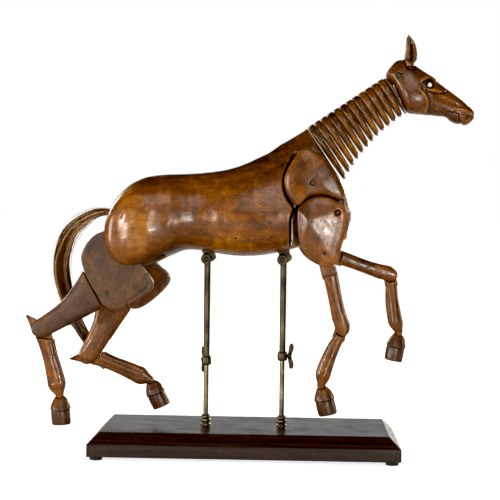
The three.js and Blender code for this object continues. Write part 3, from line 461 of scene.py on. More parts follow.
def carve(node, material, voxel, place, sand=4, guide=None, reach=0.9, marks=None, grain=None,
          tone=0.0, wobble=0.12, seed=0):
    mesh = remeshed(node, voxel)
    points, edges = readRows(mesh.vertices, "co", 3, np.float32).astype(float), readEdges(mesh)
    if guide:
        drawTo(guide, points, readNormals(mesh), reach)
    points = relax(points, edges, carving["sandStep"], sand)
    writePoints(mesh, points)
    darkTone, shade = cutMarks(mesh, points, place, marks) if marks else (0, 0)
    points += readNormals(mesh) * ((ripple(points, seed) - 1) * wobble * mm)[:, None]
    writePoints(mesh, points)

    hollow = hollowness(points, readNormals(mesh), edges, voxel)
    # Dark in hollows and marks, as painted shade and stain; pale on crowns and edges, as wear and painted
    # highlight
    writeAttribute(mesh, "shadeAndStain", "FLOAT", np.clip(0.5 + carving["hollowGain"] * hollow + darkTone, 0, 1))
    rng = np.random.default_rng(seed + 900)
    writeAttribute(mesh, "grainPlace", "FLOAT_VECTOR", alongGrain(points, grain) + rng.uniform(-1, 1, 3))
    tone += rng.uniform(-carving["toneSpread"], carving["toneSpread"])
    # the tone takes the marks' painted highlights and painted shade
    writeAttribute(mesh, "tone", "FLOAT", np.full(len(points), tone) + shade)
    addPiece("carved_" + node, mesh, material, node)


def fade(distance, reach):  # 1 at the stroke's middle, 0 at its edge
    return np.clip(1 - (distance / reach) ** 2, 0, 1) ** 2


def toLine(x, z, path):  # distance in mm to a path of (x, z) points
    here = np.stack([x, z], axis=1)
    best = np.full(len(x), 1e9)
    for a, b in zip(path[:-1], path[1:]):
        a, b = np.array(a, float), np.array(b, float)
        t = np.clip((here - a) @ (b - a) / ((b - a) @ (b - a)), 0, 1)
        best = np.minimum(best, np.linalg.norm(here - a - t[:, None] * (b - a), axis=1))
    return best


def pegMarks(x, z, pegs):  # each dowel end lies dark in a worn, chipped dish: dark end grain, with painted shade in the dish
    depth, darkTone = np.zeros(len(x)), np.zeros(len(x))
    radius = carving["pegRadius"]
    for px, pz in pegs:
        away = np.hypot(x - px, z - pz) * (1 + 0.12 * np.sin(3 * np.arctan2(z - pz, x - px) + px))
        depth -= carving["pegDepth"] * fade(away, radius * 1.6)
        darkTone += carving["pegStainAndShade"] * fade(away, radius * 1.05)
    return depth, darkTone


def limbPlace(body, degrees):  # local limb frame, hanging down from its pivot, to the world
    flip = Matrix.Scale(-1, 4, (0, 1, 0)) if body.startswith("left") else Matrix()
    return Matrix.Translation(jointOf[body]["pos_m"]) @ flip @ Matrix.Rotation(-math.radians(degrees), 4, "Y")


# Torso

torso = {
    "voxel": 1.0,
    "rings": [  # top x, z, bottom x, z, half width, squareness, taper towards the top
        [-155.6, 251, -156.4, 240, 27, 3, 0], [-153.6, 258, -155.4, 231.4, 36, 3.2, 0],
        [-150.4, 266.2, -152.4, 219.2, 41.5, 3.4, 0], [-144.8, 277.2, -146.4, 208.6, 45.5, 3.6, 0],
        [-136.6, 286.6, -137.2, 202.6, 48, 3.6, 0], [-126, 295.2, -126.4, 200.7, 49.5, 3.5, 0.02],
        [-112.6, 301.4, -113, 203.2, 50, 3.3, 0.04], [-98, 304, -98, 208.8, 49, 3, 0.05],
        [-84, 305.2, -84, 215.6, 46.3, 2.7, 0.06], [-68, 305.8, -68, 221.6, 42.5, 2.4, 0.08],
        [-50, 307.2, -50, 221.2, 40, 2.3, 0.08], [-30, 310, -30, 217.9, 42.6, 2.25, 0.1],
        [-10, 315.4, -8, 216, 44.4, 2.25, 0.14], [9, 324, 14, 217, 44.3, 2.3, 0.18],
        [23, 331.2, 36, 221, 43, 2.3, 0.24], [34.5, 339.3, 59, 226.6, 40.8, 2.3, 0.3],
        [44, 344.7, 88, 228.5, 37, 2.3, 0.3], [52, 349.8, 107.5, 236, 31, 2.3, 0.24],
        [57.5, 353.4, 112.6, 262, 25.5, 2.3, 0.14], [60.6, 355.5, 108.3, 286.5, 21, 2.3, 0.06],
        [62.8, 357.9, 102.6, 297.8, 18, 2.3, 0],
    ],
    "nicks": [(16.4, 265.4, 1.6), (23, 252.7, 1.1), (-12.1, 236.2, 1.2), (26.4, 237.8, 1.0),
              (1.2, 288.7, 0.8), (-135, 258.2, 0.9)],
    "crack": [(34.8, 325.7), (38.6, 320.2), (43.5, 315.1)],
    "flankFold": [(-100, 300), (-97, 282), (-95, 262), (-97, 240), (-102, 222)],
    "flank": 22,  # half width from which the fold and the painted highlight oval show
    "highlightOval": [(-114, 247), (21, 23)],  # middle and half sizes of the painted highlight on the haunch
    "bladePin": (69.4, 297.1), "pocketReach": 34, "pocketHalf": 21.6,
    # Strengths of the painted highlight on the haunch, the painted shade along the back and under the belly, and
    # the painted shade in the pocket behind the blade
    "highlightAndTone": 1.05, "backShade": 0.7, "bellyShade": 0.35, "pocketShade": 0.22,
}


def torsoMarks(x, y, z):
    fold = toLine(x, z, torso["flankFold"])
    depth = -1.1 * fade(fold, 13) * (abs(y) > torso["flank"])
    # the fold is darkened a little, as painted shade
    darkTone = 0.1 * fade(fold, 9) * (abs(y) > torso["flank"])
    seen = y < -12
    for nx, nz, size in torso["nicks"]:
        away = np.hypot(x - nx, z - nz)
        depth -= 0.7 * fade(away, size * 1.5) * seen
        darkTone += 0.7 * fade(away, size * 1.3) * seen
    darkTone += 0.5 * fade(toLine(x, z, torso["crack"]), 0.9) * seen
    # a painted highlight on the haunch
    (midX, midZ), (halfX, halfZ) = torso["highlightOval"]
    oval = np.exp(-(((x - midX) / halfX) ** 2 + ((z - midZ) / halfZ) ** 2) ** 1.6)
    oval *= np.clip((abs(y) - torso["flank"]) / 14, 0, 1)
    # painted shade: darker along the top of the back and under the belly
    back, belly = np.clip((z - 290) / 26, 0, 1), np.clip((226 - z) / 14, 0, 1)
    # painted shade in the pocket behind the shoulder blade and arm
    pinX, pinZ = torso["bladePin"]
    nearPin = np.hypot(x - pinX, z - pinZ) < torso["pocketReach"]
    pocket = (abs(y) < torso["pocketHalf"]) & (nearPin | ((x > 45.6) & (x < 62) & (z < 275)))
    shade = torso["highlightAndTone"] * oval - torso["backShade"] * back - torso["bellyShade"] * belly
    return depth, darkTone + torso["pocketShade"] * pocket, shade


carve("torso", polishedWalnut, torso["voxel"], shift, sand=5, marks=torsoMarks, grain=0.0,
      guide=ovalGuide(torso["rings"], shift, 64, 5), reach=1.2, wobble=0.25, seed=1)
print("torso carved")


# Neck discs

neck = {
    "count": 12, "crestStart": [62.9, 358], "crestEnd": [144.8, 412.8], "throatStart": [106, 302.6],
    "throatStep": [4.4, 7.7], "throatTurn": [0.2, -0.3], "halfLow": 18, "halfHigh": 14.5,
    "crestGap": 0.3, "throatGap": 3, "sideGap": 1.5, "squareness": 2.3, "sides": 60,
    "highlightBand": (0.74, 0.13, 0.8),  # painted highlight band: share of the way to the throat, width and strength
    "profile": [(0, 0.5), (0, 0.1), (0.01, 0.035), (0.06, 0.008), (0.25, -0.006), (0.5, -0.01),
                (0.75, -0.006), (0.94, 0.008), (0.99, 0.035), (1, 0.1), (1, 0.5)],
}


def neckPoint(k, a, b, half, side):  # beside the plane in front of disc k, a from crest to throat
    crestStart = np.array(neck["crestStart"])
    crest = crestStart + (neck["crestEnd"] - crestStart) * k / neck["count"]
    q = k - 0.5
    throat = (np.array(neck["throatStart"]) + np.array(neck["throatStep"]) * q
              + np.array(neck["throatTurn"]) * q * (q - 1) / 2)
    span = throat - crest
    along = span / np.linalg.norm(span)
    gap = (neck["crestGap"] + (neck["throatGap"] - neck["crestGap"]) * a ** 3 + neck["sideGap"] * b * b) / 2
    x, z = crest + span * a + np.array([-along[1], along[0]]) * side * gap
    return Vector((x, b * half, z))


def discGuide(k):
    half = neck["halfLow"] + (neck["halfHigh"] - neck["halfLow"]) * k / neck["count"]
    rings = []
    for lean, shrink in neck["profile"]:
        ring = []
        for cosine, sine in unitRing(neck["sides"]):
            a, b = (1 - bend(cosine, neck["squareness"])) / 2, bend(sine, neck["squareness"])
            inset = shrink * (0.25 + 0.75 * min(1, a * 1.6))
            a, b = 0.5 + (a - 0.5) * (1 - inset), b * (1 - inset)
            rear, front = neckPoint(k, a, b, half, 1), neckPoint(k + 1, a, b, half, -1)
            ring.append(shift @ (rear.lerp(front, lean) * mm))
        rings.append(ring)
    return skin(rings)


def discMarks(k):
    crest, throat = neckPoint(k + 0.5, 0, 0, 0, 0), neckPoint(k + 0.5, 1, 0, 0, 0)
    span = throat - crest
    middle, width, strength = neck["highlightBand"]

    def marks(x, y, z):
        share = ((x - crest.x) * span.x + (z - crest.z) * span.z) / (span.x ** 2 + span.z ** 2)
        # darker at the crest as painted shade, a painted highlight band lower down, and darker overall
        return 0 * x, 0.3 * fade(share, 0.14), strength * np.exp(-((share - middle) / width) ** 2) - 0.35
    return marks


for k in range(neck["count"]):
    carve(f"neck_disc_{k + 1:02d}", polishedWalnut, 0.55, shift, sand=3,
          guide=discGuide(k), marks=discMarks(k), reach=0.9, wobble=0.1, seed=20 + k)
carve("neck_top", polishedWalnut, 0.6, shift, sand=5, seed=40)
print("neck carved")


# Head, with strokes as (path, reach, depth, darkness) in the side view; the darkness is painted shade in grooves,
# the jaw slot and the nostril, and below 0 a painted highlight on a ridge

head = {
    "rings": [
        [147.4, 416.4, 149.7, 412.7, 5, 2.4, 0], [150.4, 421.4, 155.6, 408.6, 10, 2.4, 0],
        [154.8, 427.2, 158.9, 401, 13, 2.4, 0.05], [159.4, 431.6, 163.6, 390.6, 15.5, 2.5, 0.1],
        [165.2, 432.8, 168, 380.8, 17.5, 2.6, 0.14], [170.8, 432.2, 172.8, 375.4, 18.6, 2.7, 0.14],
        [179.5, 427, 181, 374.1, 19, 2.7, 0.1], [188.5, 421, 188.6, 373.4, 18.6, 2.6, 0.04],
        [193.4, 418, 193.2, 373, 17, 2.5, -0.04], [200, 413.8, 199, 372.6, 15.6, 2.4, -0.1],
        [207, 407.3, 206, 371.8, 14.2, 2.4, -0.06], [217, 400, 214, 370.8, 12.6, 2.4, 0],
        [226, 393.6, 220, 366, 11.6, 2.5, 0], [233, 388.2, 226.6, 363.6, 11.3, 2.6, 0],
        [239.2, 382.9, 230.4, 364, 11.8, 2.6, 0.05], [243.6, 378.8, 235.2, 362.2, 11.6, 2.6, 0.08],
        [245.7, 374.6, 240.4, 364.8, 9, 2.4, 0], [245.2, 371, 243, 367.8, 5, 2.2, 0],
    ],
    "strokes": [
        ([(186.2, 410), (190.5, 413.9), (196.9, 414), (201.4, 410.2)], 2.4, 0.9, -0.04),
        ([(188, 407.4), (191.4, 410.1), (194.6, 411), (198.6, 409.2)], 1.5, -0.7, 0.35),
        ([(199.4, 405.4), (204.6, 403.6)], 4.6, -0.9, 0),
        ([(193.9, 399.8), (199.3, 399.3), (205.7, 398.3)], 2.2, 0.8, 0),
        ([(191.4, 398.8), (195.3, 396.8), (203, 395.2), (210.5, 396.2), (214.6, 398.4)], 1.8, -0.8, 0.18),
        ([(184, 400.4), (189.4, 394.4), (192.2, 388.6), (192.8, 381), (190.8, 377)], 2.4, 0.8, -0.12),
        ([(187.6, 401.4), (192.8, 394.6), (195.6, 388.6), (196.2, 380.5), (194, 376)], 3.4, -1.0, 0.02),
        ([(171.7, 375.8), (181.5, 373.8)], 1.6, -0.8, 0.5),
        ([(222.8, 379.6), (233.4, 378.6), (239.5, 375.2)], 2.6, 0.9, 0),
        ([(227.9, 362), (227.7, 369), (227, 374), (222.7, 375.7), (215.3, 376)], 1.3, -1.1, 0.45),
        ([(235.4, 369.4), (237.4, 371.8)], 2, -1.3, 0.6),
        ([(232.2, 371.6), (235.2, 375), (240, 373.6)], 1.5, 0.7, 0),
        ([(206, 389), (216, 386.5), (224, 384)], 4.2, -0.5, 0),
        ([(212, 392.5), (222, 388.6), (231, 384.4)], 3, 0.5, 0),
    ],
    "eye": (194.9, 404.8), "underEye": [(194.6, 399.9), (199.4, 399.4)],
    "ear": (173.6, 9.5), "earReach": 6,  # x and y of each ear's foot
    "pollPin": [(161.2, 415.8)],
    "grainAngle": -0.7,
}


def headMarks(x, y, z):
    flank = np.clip((abs(y) - 5) / 4, 0, 1)
    depth, darkTone, highlightAndTone = np.zeros(len(x)), np.zeros(len(x)), np.zeros(len(x))
    for path, reach, raised, dark in head["strokes"]:
        near = fade(toLine(x, z, path), reach) * flank
        depth += raised * near
        darkTone += dark * near
        # raised strokes are painted lighter, as highlights
        highlightAndTone += 0.7 * near * (raised > 0.7)
    eye = np.hypot(x - head["eye"][0], z - head["eye"][1])
    depth -= 0.7 * fade(eye, 6) * flank
    darkTone += 1.5 * fade(eye - 3.2, 2.6) * flank
    # a painted highlight under the eye
    highlightAndTone += 2.2 * fade(toLine(x, z, head["underEye"]), 2) * flank
    ear = np.hypot(x - head["ear"][0], abs(y) - head["ear"][1])
    darkTone += 0.5 * fade(ear - head["earReach"], 1.3) * (z > 420)
    pegDepth, pegStainAndShade = pegMarks(x, z, head["pollPin"])
    # the top of the face is painted darker, as shade
    ridge = np.clip((z - 374 - 0.55 * (245 - x)) / 22, 0, 1)
    along, across = 0.77 * x - 0.64 * z, 0.64 * x + 0.77 * z  # wavy figure down the face
    wave = across + 1.3 * np.sin(along / 8) + 0.7 * np.sin(along / 3.7 + across / 9)
    highlightAndTone -= 0.75 * np.clip(np.sin(wave * 1.5) - 0.2, 0, 1) * (0.5 + 0.5 * np.sin(wave / 5.1))
    return depth + pegDepth, darkTone + 0.6 * pegStainAndShade, highlightAndTone - 0.1 - 0.5 * ridge


def earMarks(x, y, z):
    inner = (y < 0.5) * np.clip((z - 5) / 4, 0, 1)
    depth = -0.9 * fade(toLine(x, z, [(1.6, 8), (1.8, 18), (0.6, 28)]), 2) * inner
    depth += 0.4 * fade(toLine(x, z, [(-0.9, 9), (-0.8, 20), (-1.4, 30)]), 1.2) * inner
    # the groove in the ear's hollow is darkened, as painted shade
    return depth, 0.3 * fade(toLine(x, z, [(1.6, 9), (1.8, 18), (0.8, 26)]), 1.5) * inner, 0.1


carve("head", polishedWalnut, 0.5, shift, sand=4, guide=ovalGuide(head["rings"], shift, 48, 5), reach=1.0,
      marks=headMarks, grain=head["grainAngle"], wobble=0.1, seed=50)
for side in ("right", "left"):
    carve(side + "_ear", polishedWalnut, 0.35, limbPlace(side + "_ear", 0), sand=5, marks=earMarks,
          grain=math.pi / 2, wobble=0.05, seed=52)
    carve(side + "_eye", beadGlass, 0.2, shift, sand=3, wobble=0, seed=53)
print("head carved")


# Limbs

stance = {
    "right": {"blade": 0, "arm": 0, "forearm": 14.5, "fore_cannon": -19.7, "fore_hoof": 12.5, "thigh": 0,
              "gaskin": -61.4, "hind_cannon": 15.4, "hind_hoof": 3},
    "left": {"blade": -2.3, "arm": -2.3, "forearm": 73, "fore_cannon": 9.7, "fore_hoof": -11, "thigh": 10.5,
             "gaskin": -32.9, "hind_cannon": 68.4, "hind_hoof": 24.6},
}


def roundEnd(length, radius, half):
    return [[length + radius * math.sin(math.radians(a)), radius * math.cos(math.radians(a)),
             radius * math.cos(math.radians(a)), half * (1 - 0.12 * (a / 85) ** 2)] for a in (0, 35, 65, 85)]


limb = {  # rows of distance below the pivot, front, back and half width; then squareness
    "forearm": [[[14, 8.8, 7.6, 8], [26, 8.8, 7.3, 8.1], [40, 8, 7.4, 7.8], [55, 7.3, 8, 7.3],
                 [67, 7.7, 8.7, 7.2], [76, 8.6, 9, 7.2]] + roundEnd(82, 8.9, 7.1), 2.7],
    "fore_cannon": [[[4, 7, 6.2, 6.6], [12, 6.5, 6.4, 6.6], [20, 6, 8.6, 6.4], [32, 5.7, 10.2, 6.2],
                     [46, 6, 10.6, 6], [54, 6, 9.8, 5.8], [60, 5.4, 7.6, 5.5]] + roundEnd(65.3, 5, 5.2), 2.7],
    "gaskin": [[[13.3, 11, 33, 7.1], [14.3, 12, 34, 7.7], [21, 12, 29.7, 7.7], [31, 11.9, 24, 7.7],
                [42, 11.8, 18.6, 7.5], [52, 11.8, 15.2, 7.3], [64, 12, 13, 7.1],
                [74, 11.8, 11.8, 7]] + roundEnd(82.5, 11.6, 6.9), 3.2],
    "hind_cannon": [[[5, 10.6, 10.4, 6.9], [12, 11, 9, 6.9], [20, 9.8, 8.4, 6.7], [31, 9.6, 8.2, 6.4],
                     [44, 9.9, 8.4, 6.2], [55, 10, 9.2, 6], [63, 9.4, 9.4, 5.8],
                     [69, 7.4, 7.8, 5.5]] + roundEnd(74.4, 5, 5.2), 2.7],
    "hoof": [[[3, 5.4, 5.2, 4.9], [6.5, 8.6, 7.2, 6.4], [11, 10.4, 9.4, 8.4], [15, 11.3, 10.6, 9.8],
              [17.2, 11.4, 10.8, 10.2], [18, 10.7, 10.1, 9.6], [25, 10.9, 10.1, 9.9], [32.2, 10.8, 9.4, 9.9],
              [33.6, 10, 8.4, 9.2]], 2.2],
}
plates = {  # outline from the pivot, crown it shrinks to, rows of depth and share
    "shoulder_blade": {
        "outline": [[-14.3, 34.1], [-8, 37.2], [-0.4, 35.4], [10.4, 26.9], [22.3, 14.2], [30, 2.5],
                    [35.2, -11], [34.4, -16], [30.3, -18.6], [19.5, -14.9], [6.7, -13], [-4, -16.2],
                    [-11.5, -23.4], [-16.8, -26], [-22.2, -21.6], [-26.8, -15.5], [-29.9, -8], [-31, 0],
                    [-29.9, 8], [-26.8, 15.5], [-22.6, 22.4], [-18, 29]],
        "crown": [2, 4],
        "rows": [[-20.3, 0.03], [-21.7, 0], [-33.6, 0], [-35, 0.03], [-36, 0.09], [-36.8, 0.2],
                 [-37.5, 0.45], [-37.9, 0.75], [-37.95, 0.97]],
        "pegs": [(0, 0)],
    },
    "upper_arm": {
        "outline": [[-37.8, 8.2], [-42.4, 3.6], [-43.3, -6], [-42.6, -19], [-39.8, -35], [-33.8, -46.4],
                    [-24, -54.6], [-12.6, -58.4], [-2, -55.8], [2, -47], [4.6, -38], [9, -20.2],
                    [10.6, -2], [8, 7], [1.8, 10.8], [-8.2, 15.6], [-20.6, 17.4], [-30.4, 14.1]],
        "crown": [-30, -9],
        "rows": [[-27.3, 0.04], [-28.9, 0], [-40.3, 0], [-41.4, 0.03], [-42.2, 0.1], [-43.3, 0.26],
                 [-44.3, 0.48], [-45, 0.7], [-45.3, 0.88], [-45.4, 0.98]],
        "pegs": [(0, 0), (-13.5, -44.1)],
    },
    "thigh": {
        "outline": [[-25.5, -10], [-33.3, -17.4], [-43, -21.9], [-51.7, -30.7], [-57, -41.6], [-58, -50],
                    [-54.7, -61], [-48, -75.2], [-40.2, -88.2], [-32.5, -98.9], [-23.7, -103.2],
                    [-14, -101.8], [-3, -96.7], [9.9, -88.5], [18.6, -81], [20.9, -74], [17.3, -66.4],
                    [11.8, -60.2], [7.4, -52], [8.4, -40], [13, -27], [19.5, -13], [22.5, 2], [17.6, 14],
                    [8, 21], [-3, 22.4], [-14, 17.6], [-21.6, 7], [-22.8, -3]],
        "crown": [-15, -40],
        "rows": [[-18.3, 0.03], [-19.5, 0], [-32.1, 0], [-33.1, 0.015], [-33.7, 0.05], [-33.7, 0.3],
                 [-33.7, 0.8]],
        "pegs": [(-28.3, -84.7)],
        "rim": [(-3, -96.7), (9.9, -88.5), (18.6, -81), (20.9, -74), (17.3, -66.4)],
    },
}


def limbGuide(kind, place):
    rows, power = limb[kind]
    return ovalGuide([[front, -s, -back, -s, half, power, 0] for s, front, back, half in rows], place, 40, 4)


tendons = {"fore_cannon": (65.3, -1.5), "hind_cannon": (74.4, 0)}  # length and slant


def tendonMarks(length, slant):  # a ridge and a hollow that run down the side of a cannon bone; the ridge is painted lighter, as a highlight
    def marks(x, y, z):
        side = np.clip((abs(y) - 3) / 1.5, 0, 1)
        hollow = fade(toLine(x, z, [(-2.6, -16), (-2.6 + slant, -length * 0.82)]), 1.9) * side
        ridge = fade(toLine(x, z, [(1.2, -14), (1.2 + slant, -length * 0.84)]), 1.8) * side
        spurTip = fade(np.hypot(x + 13, z - 18), 8)
        swell = np.exp(-((z + length - 9) / 6) ** 2) - 0.5 * np.exp(-((z + length * 0.42) / 12) ** 2)
        return 0.5 * ridge - 0.25 * hollow + 0.8 * swell, 0.7 * spurTip, 0.5 * ridge - 0.2
    return marks


def hoofMarks(x, y, z):  # a line round the coronet, darkened as painted shade, and paler wood above it
    coronet = fade(z + 18.1, 0.9)
    return -0.3 * coronet, 0.4 * coronet, 0.4 * np.clip((z + 17) / 6, 0, 1)


def dowelMarks(x, y, z):  # dark end grain, with painted shade where the end sits in its hole
    return 0 * x, 0.45 + 0 * x, 0 * x


def plateMarks(kind):
    def marks(x, y, z):
        outward = y < -30
        # the inner wall beside the body is painted darker, as shade between the parts
        wall = np.clip((y - plates[kind]["rows"][2][0] + 0.6) / 1.5, 0, 1)
        depth, darkTone = pegMarks(x, z, plates[kind]["pegs"])
        shade = np.zeros(len(x))
        if kind == "shoulder_blade":
            # the peg end inside the arm's hole: dark end grain and painted shade
            darkTone += 0.6 * (y < -38.3)
        if kind == "upper_arm":
            # the arm's flat facet is painted lighter and the dome beside it darker, as painted light and shade
            shade = 0.2 * np.clip((x + 18.5 - 0.05 * (z + 15)) / 1.6, -1, 1)
        if kind == "thigh":
            depth -= 0.7 * fade(toLine(x, z, plates[kind]["rim"]) - 4.6, 2.4)
        return depth * outward, darkTone * outward + (0.4 * wall if kind != "thigh" else 0), shade
    return marks


for number, side in enumerate(("right", "left")):
    for kind, angle in stance[side].items():
        if kind in ("blade", "arm", "thigh"):
            continue
        node = f"{side}_{kind}"
        place = limbPlace(node, angle)
        grain = math.radians(angle - 90)
        if kind.endswith("hoof"):
            carve(node, darkHoofWood, 0.4, place, sand=3, guide=limbGuide("hoof", place), reach=0.6,
                  marks=hoofMarks, grain=grain, wobble=0.06, seed=85 + number * 10 + len(kind))
        else:
            wood = rubbedWalnut if node == "right_gaskin" else polishedWalnut
            carve(node, wood, 0.5, place, sand=4, guide=limbGuide(kind, place), reach=0.8, grain=grain,
                  marks=tendonMarks(*tendons[kind]) if kind in tendons else None, wobble=0.14,
                  tone=0.1 if kind in tendons else 0, seed=60 + number * 10 + len(kind))
    for kind, body, wood, grain in (("shoulder_blade", "blade", polishedWalnut, 0.7),
                                    ("upper_arm", "arm", polishedWalnut, 1.4),
                                    ("thigh", "thigh", [rubbedWalnut, polishedWalnut][number], 1.2)):
        place = limbPlace(f"{side}_{body}", stance[side][body])
        carve(f"{side}_{kind}", wood, 0.6, place, sand=9, guide=plateGuide(plates[kind], place), reach=1.1,
              marks=plateMarks(kind), grain=grain, wobble=0.16, seed=110 + number + len(kind) * 3)
for node in ("hip_dowel", "blade_dowel", "poll_pin"):
    carve(node, darkHoofWood, 0.35, shift, sand=2, grain=math.pi / 2, wobble=0.02, seed=140,
          marks=dowelMarks)
print("limbs carved")


# Metalwork: turned tubes, rods, collars and sockets, cast knuckles, lugs and wing screws

metal = {
    "plinthTop": 29.2, "rod": 2.7, "rodFoot": 14, "rodTop": 180, "tube": 3.5, "tubeBore": 3.05,
    "tubeTop": 205, "collarHeight": 10.4, "sides": 72, "smoothUnder": 40,
    "screwHole": 1.85, "drillLength": 9, "drillMiddle": 7.2,  # the drill's middle lies off the axis
    "play": 0.15,  # between a rod and its socket
    "stems": {"rear": (-44.6, 100.6, 116), "front": (39.2, 106.4, 0)},
    "socketRows": [[5.7, 0], [5.75, 0.7], [5.4, 1.4], [4.4, 2.7], [5.5, 3.7], [5.85, 4.9], [5.5, 6.4],
                   [4.5, 7.4], [5.1, 8.2], [5.25, 9.1], [4.7, 10.6], [3.7, 11.4]],
}


def drilled(mesh, x, height, degrees):  # a hole for the wing screw, through one wall
    radius = metal["screwHole"] * mm
    turn = Matrix.Rotation(math.radians(degrees), 4, "Z") @ Matrix.Rotation(math.pi / 2, 4, "Y")
    place = Matrix.Translation((x * mm, 0, height * mm)) @ turn
    cutter = bmesh.new()
    bmesh.ops.create_cone(cutter, segments=32, radius1=radius, radius2=radius, cap_ends=True,
                          depth=metal["drillLength"] * mm,
                          matrix=place @ Matrix.Translation((0, 0, metal["drillMiddle"] * mm)))
    tool = addObject("drill", bpy.data.meshes.new("drill"))
    cutter.to_mesh(tool.data)
    cutter.free()
    block = addObject("block", mesh)
    hole = block.modifiers.new("hole", "BOOLEAN")
    hole.operation, hole.object = "DIFFERENCE", tool
    mesh = finished(block)
    bpy.data.objects.remove(tool)
    return mesh


def turnedPiece(node, material, profile, x, screw=None):  # closed profile of radius and height in mm
    bm = bmesh.new()
    verts = [bm.verts.new((r * mm, 0, z * mm)) for r, z in profile]
    edges = [bm.edges.new((verts[i - 1], verts[i])) for i in range(len(verts))]
    bmesh.ops.spin(bm, geom=verts + edges, cent=(0, 0, 0), axis=(0, 0, 1), angle=2 * math.pi,
                   steps=metal["sides"], use_merge=True)
    bmesh.ops.translate(bm, verts=bm.verts, vec=(x * mm, 0, 0))
    bmesh.ops.recalc_face_normals(bm, faces=bm.faces)
    mesh = bpy.data.meshes.new(node)
    bm.to_mesh(mesh)
    bm.free()
    if screw:
        mesh = drilled(mesh, x, *screw)
    mesh.shade_smooth()
    mesh.set_sharp_from_angle(angle=math.radians(metal["smoothUnder"]))
    addPiece("turned_" + node, mesh, material, node)


def buildStem(side):
    x, collar, degrees = metal["stems"][side]
    x += boxShift
    screw = (collar, degrees)
    rod, tube, bore = metal["rod"], metal["tube"], metal["tubeBore"]
    low, high = collar - metal["collarHeight"] / 2, collar + metal["collarHeight"] / 2
    foot, top = metal["rodFoot"], metal["rodTop"]
    turnedPiece(side + "_stem_rod", agedBrass, [
        [0.01, foot], [rod, foot], [rod, top - 1], [rod - 0.3, top - 0.3], [rod - 0.9, top], [0.01, top]], x)
    base, inner = metal["plinthTop"], rod + metal["play"]
    socket = [[r, z + base] for r, z in tween(metal["socketRows"], 4)]
    turnedPiece(side + "_socket", agedBrass, [[inner, base]] + socket + [[inner, socket[-1][1]]], x)
    turnedPiece(side + "_stem_tube", agedSteel, [
        [bore, low + 1.6], [tube, low + 1.6], [tube, metal["tubeTop"]], [bore, metal["tubeTop"]]], x,
        screw)
    turnedPiece(side + "_clamp_collar", agedSteel, [
        [bore, low], [4.2, low], [4.9, low + 0.35], [5.4, low + 1.1], [5.5, low + 1.8], [5.5, high - 2.4],
        [5.3, high - 1.6], [4.7, high - 0.5], [4.2, high], [3.6, high], [3.6, low + 1.5], [bore, low + 1.5]],
        x, screw)
    for part, voxel, sand in (("knuckle", 0.3, 4), ("belly_lug", 0.35, 4), ("wing_screw", 0.3, 5)):
        carve(f"{side}_{part}", agedSteel, voxel, shift, sand=sand, wobble=0)


for side in metal["stems"]:
    buildStem(side)
print("metalwork turned")


# Tail: horsehair in locks gathered into the dock, each strand two or three times as thick as real hair

tail = {
    "path": [  # x, y, z and half width down the middle of the bundle
        [-146, 0, 262.5, 4.0], [-154, 0, 262.6, 4.0], [-163, 0, 262.8, 4.4], [-174.2, 1, 259.8, 6],
        [-185.4, 3, 253, 7.4], [-195.8, 7, 243.6, 8.4], [-204.3, 13, 231.4, 9.1], [-210, 20, 216.6, 9.5],
        [-212.6, 28, 199.8, 9.5], [-212, 36, 183, 9.2], [-209, 42.5, 167, 8.6], [-203.6, 46, 151, 8],
        [-196, 47, 135, 7.2], [-186.7, 47, 119, 6.2], [-177.3, 46.5, 104, 5], [-170, 46, 92, 3.6],
        [-164.6, 46, 83, 1.7],
    ],
    "strands": 2600,
    "locks": 46,
    "thick": 0.4,
    "stations": 16,
    "strayShare": 0.035,
    "ownSpread": 0.075, "straySpread": 0.3,  # of a strand from its lock, in half widths
    "flatFrom": 4.3, "flatten": 0.45,  # over this half width, the bundle is flatter than round
}


def strandProfile():  # a three-sided hair
    profile = bpy.data.curves.new("strandProfile", "CURVE")
    edge = profile.splines.new("POLY")
    edge.points.add(2)
    for point, (cosine, sine) in zip(edge.points, unitRing(3)):
        point.co = (cosine * tail["thick"] * mm / 2, sine * tail["thick"] * mm / 2, 0, 1)
    edge.use_cyclic_u = True
    return addObject("strandProfile", profile)


def sampled(data, walk, steps):  # a path's rows of three at these shares of its length
    return np.stack([np.interp(steps, walk, data[:, i]) for i in range(3)], axis=1)


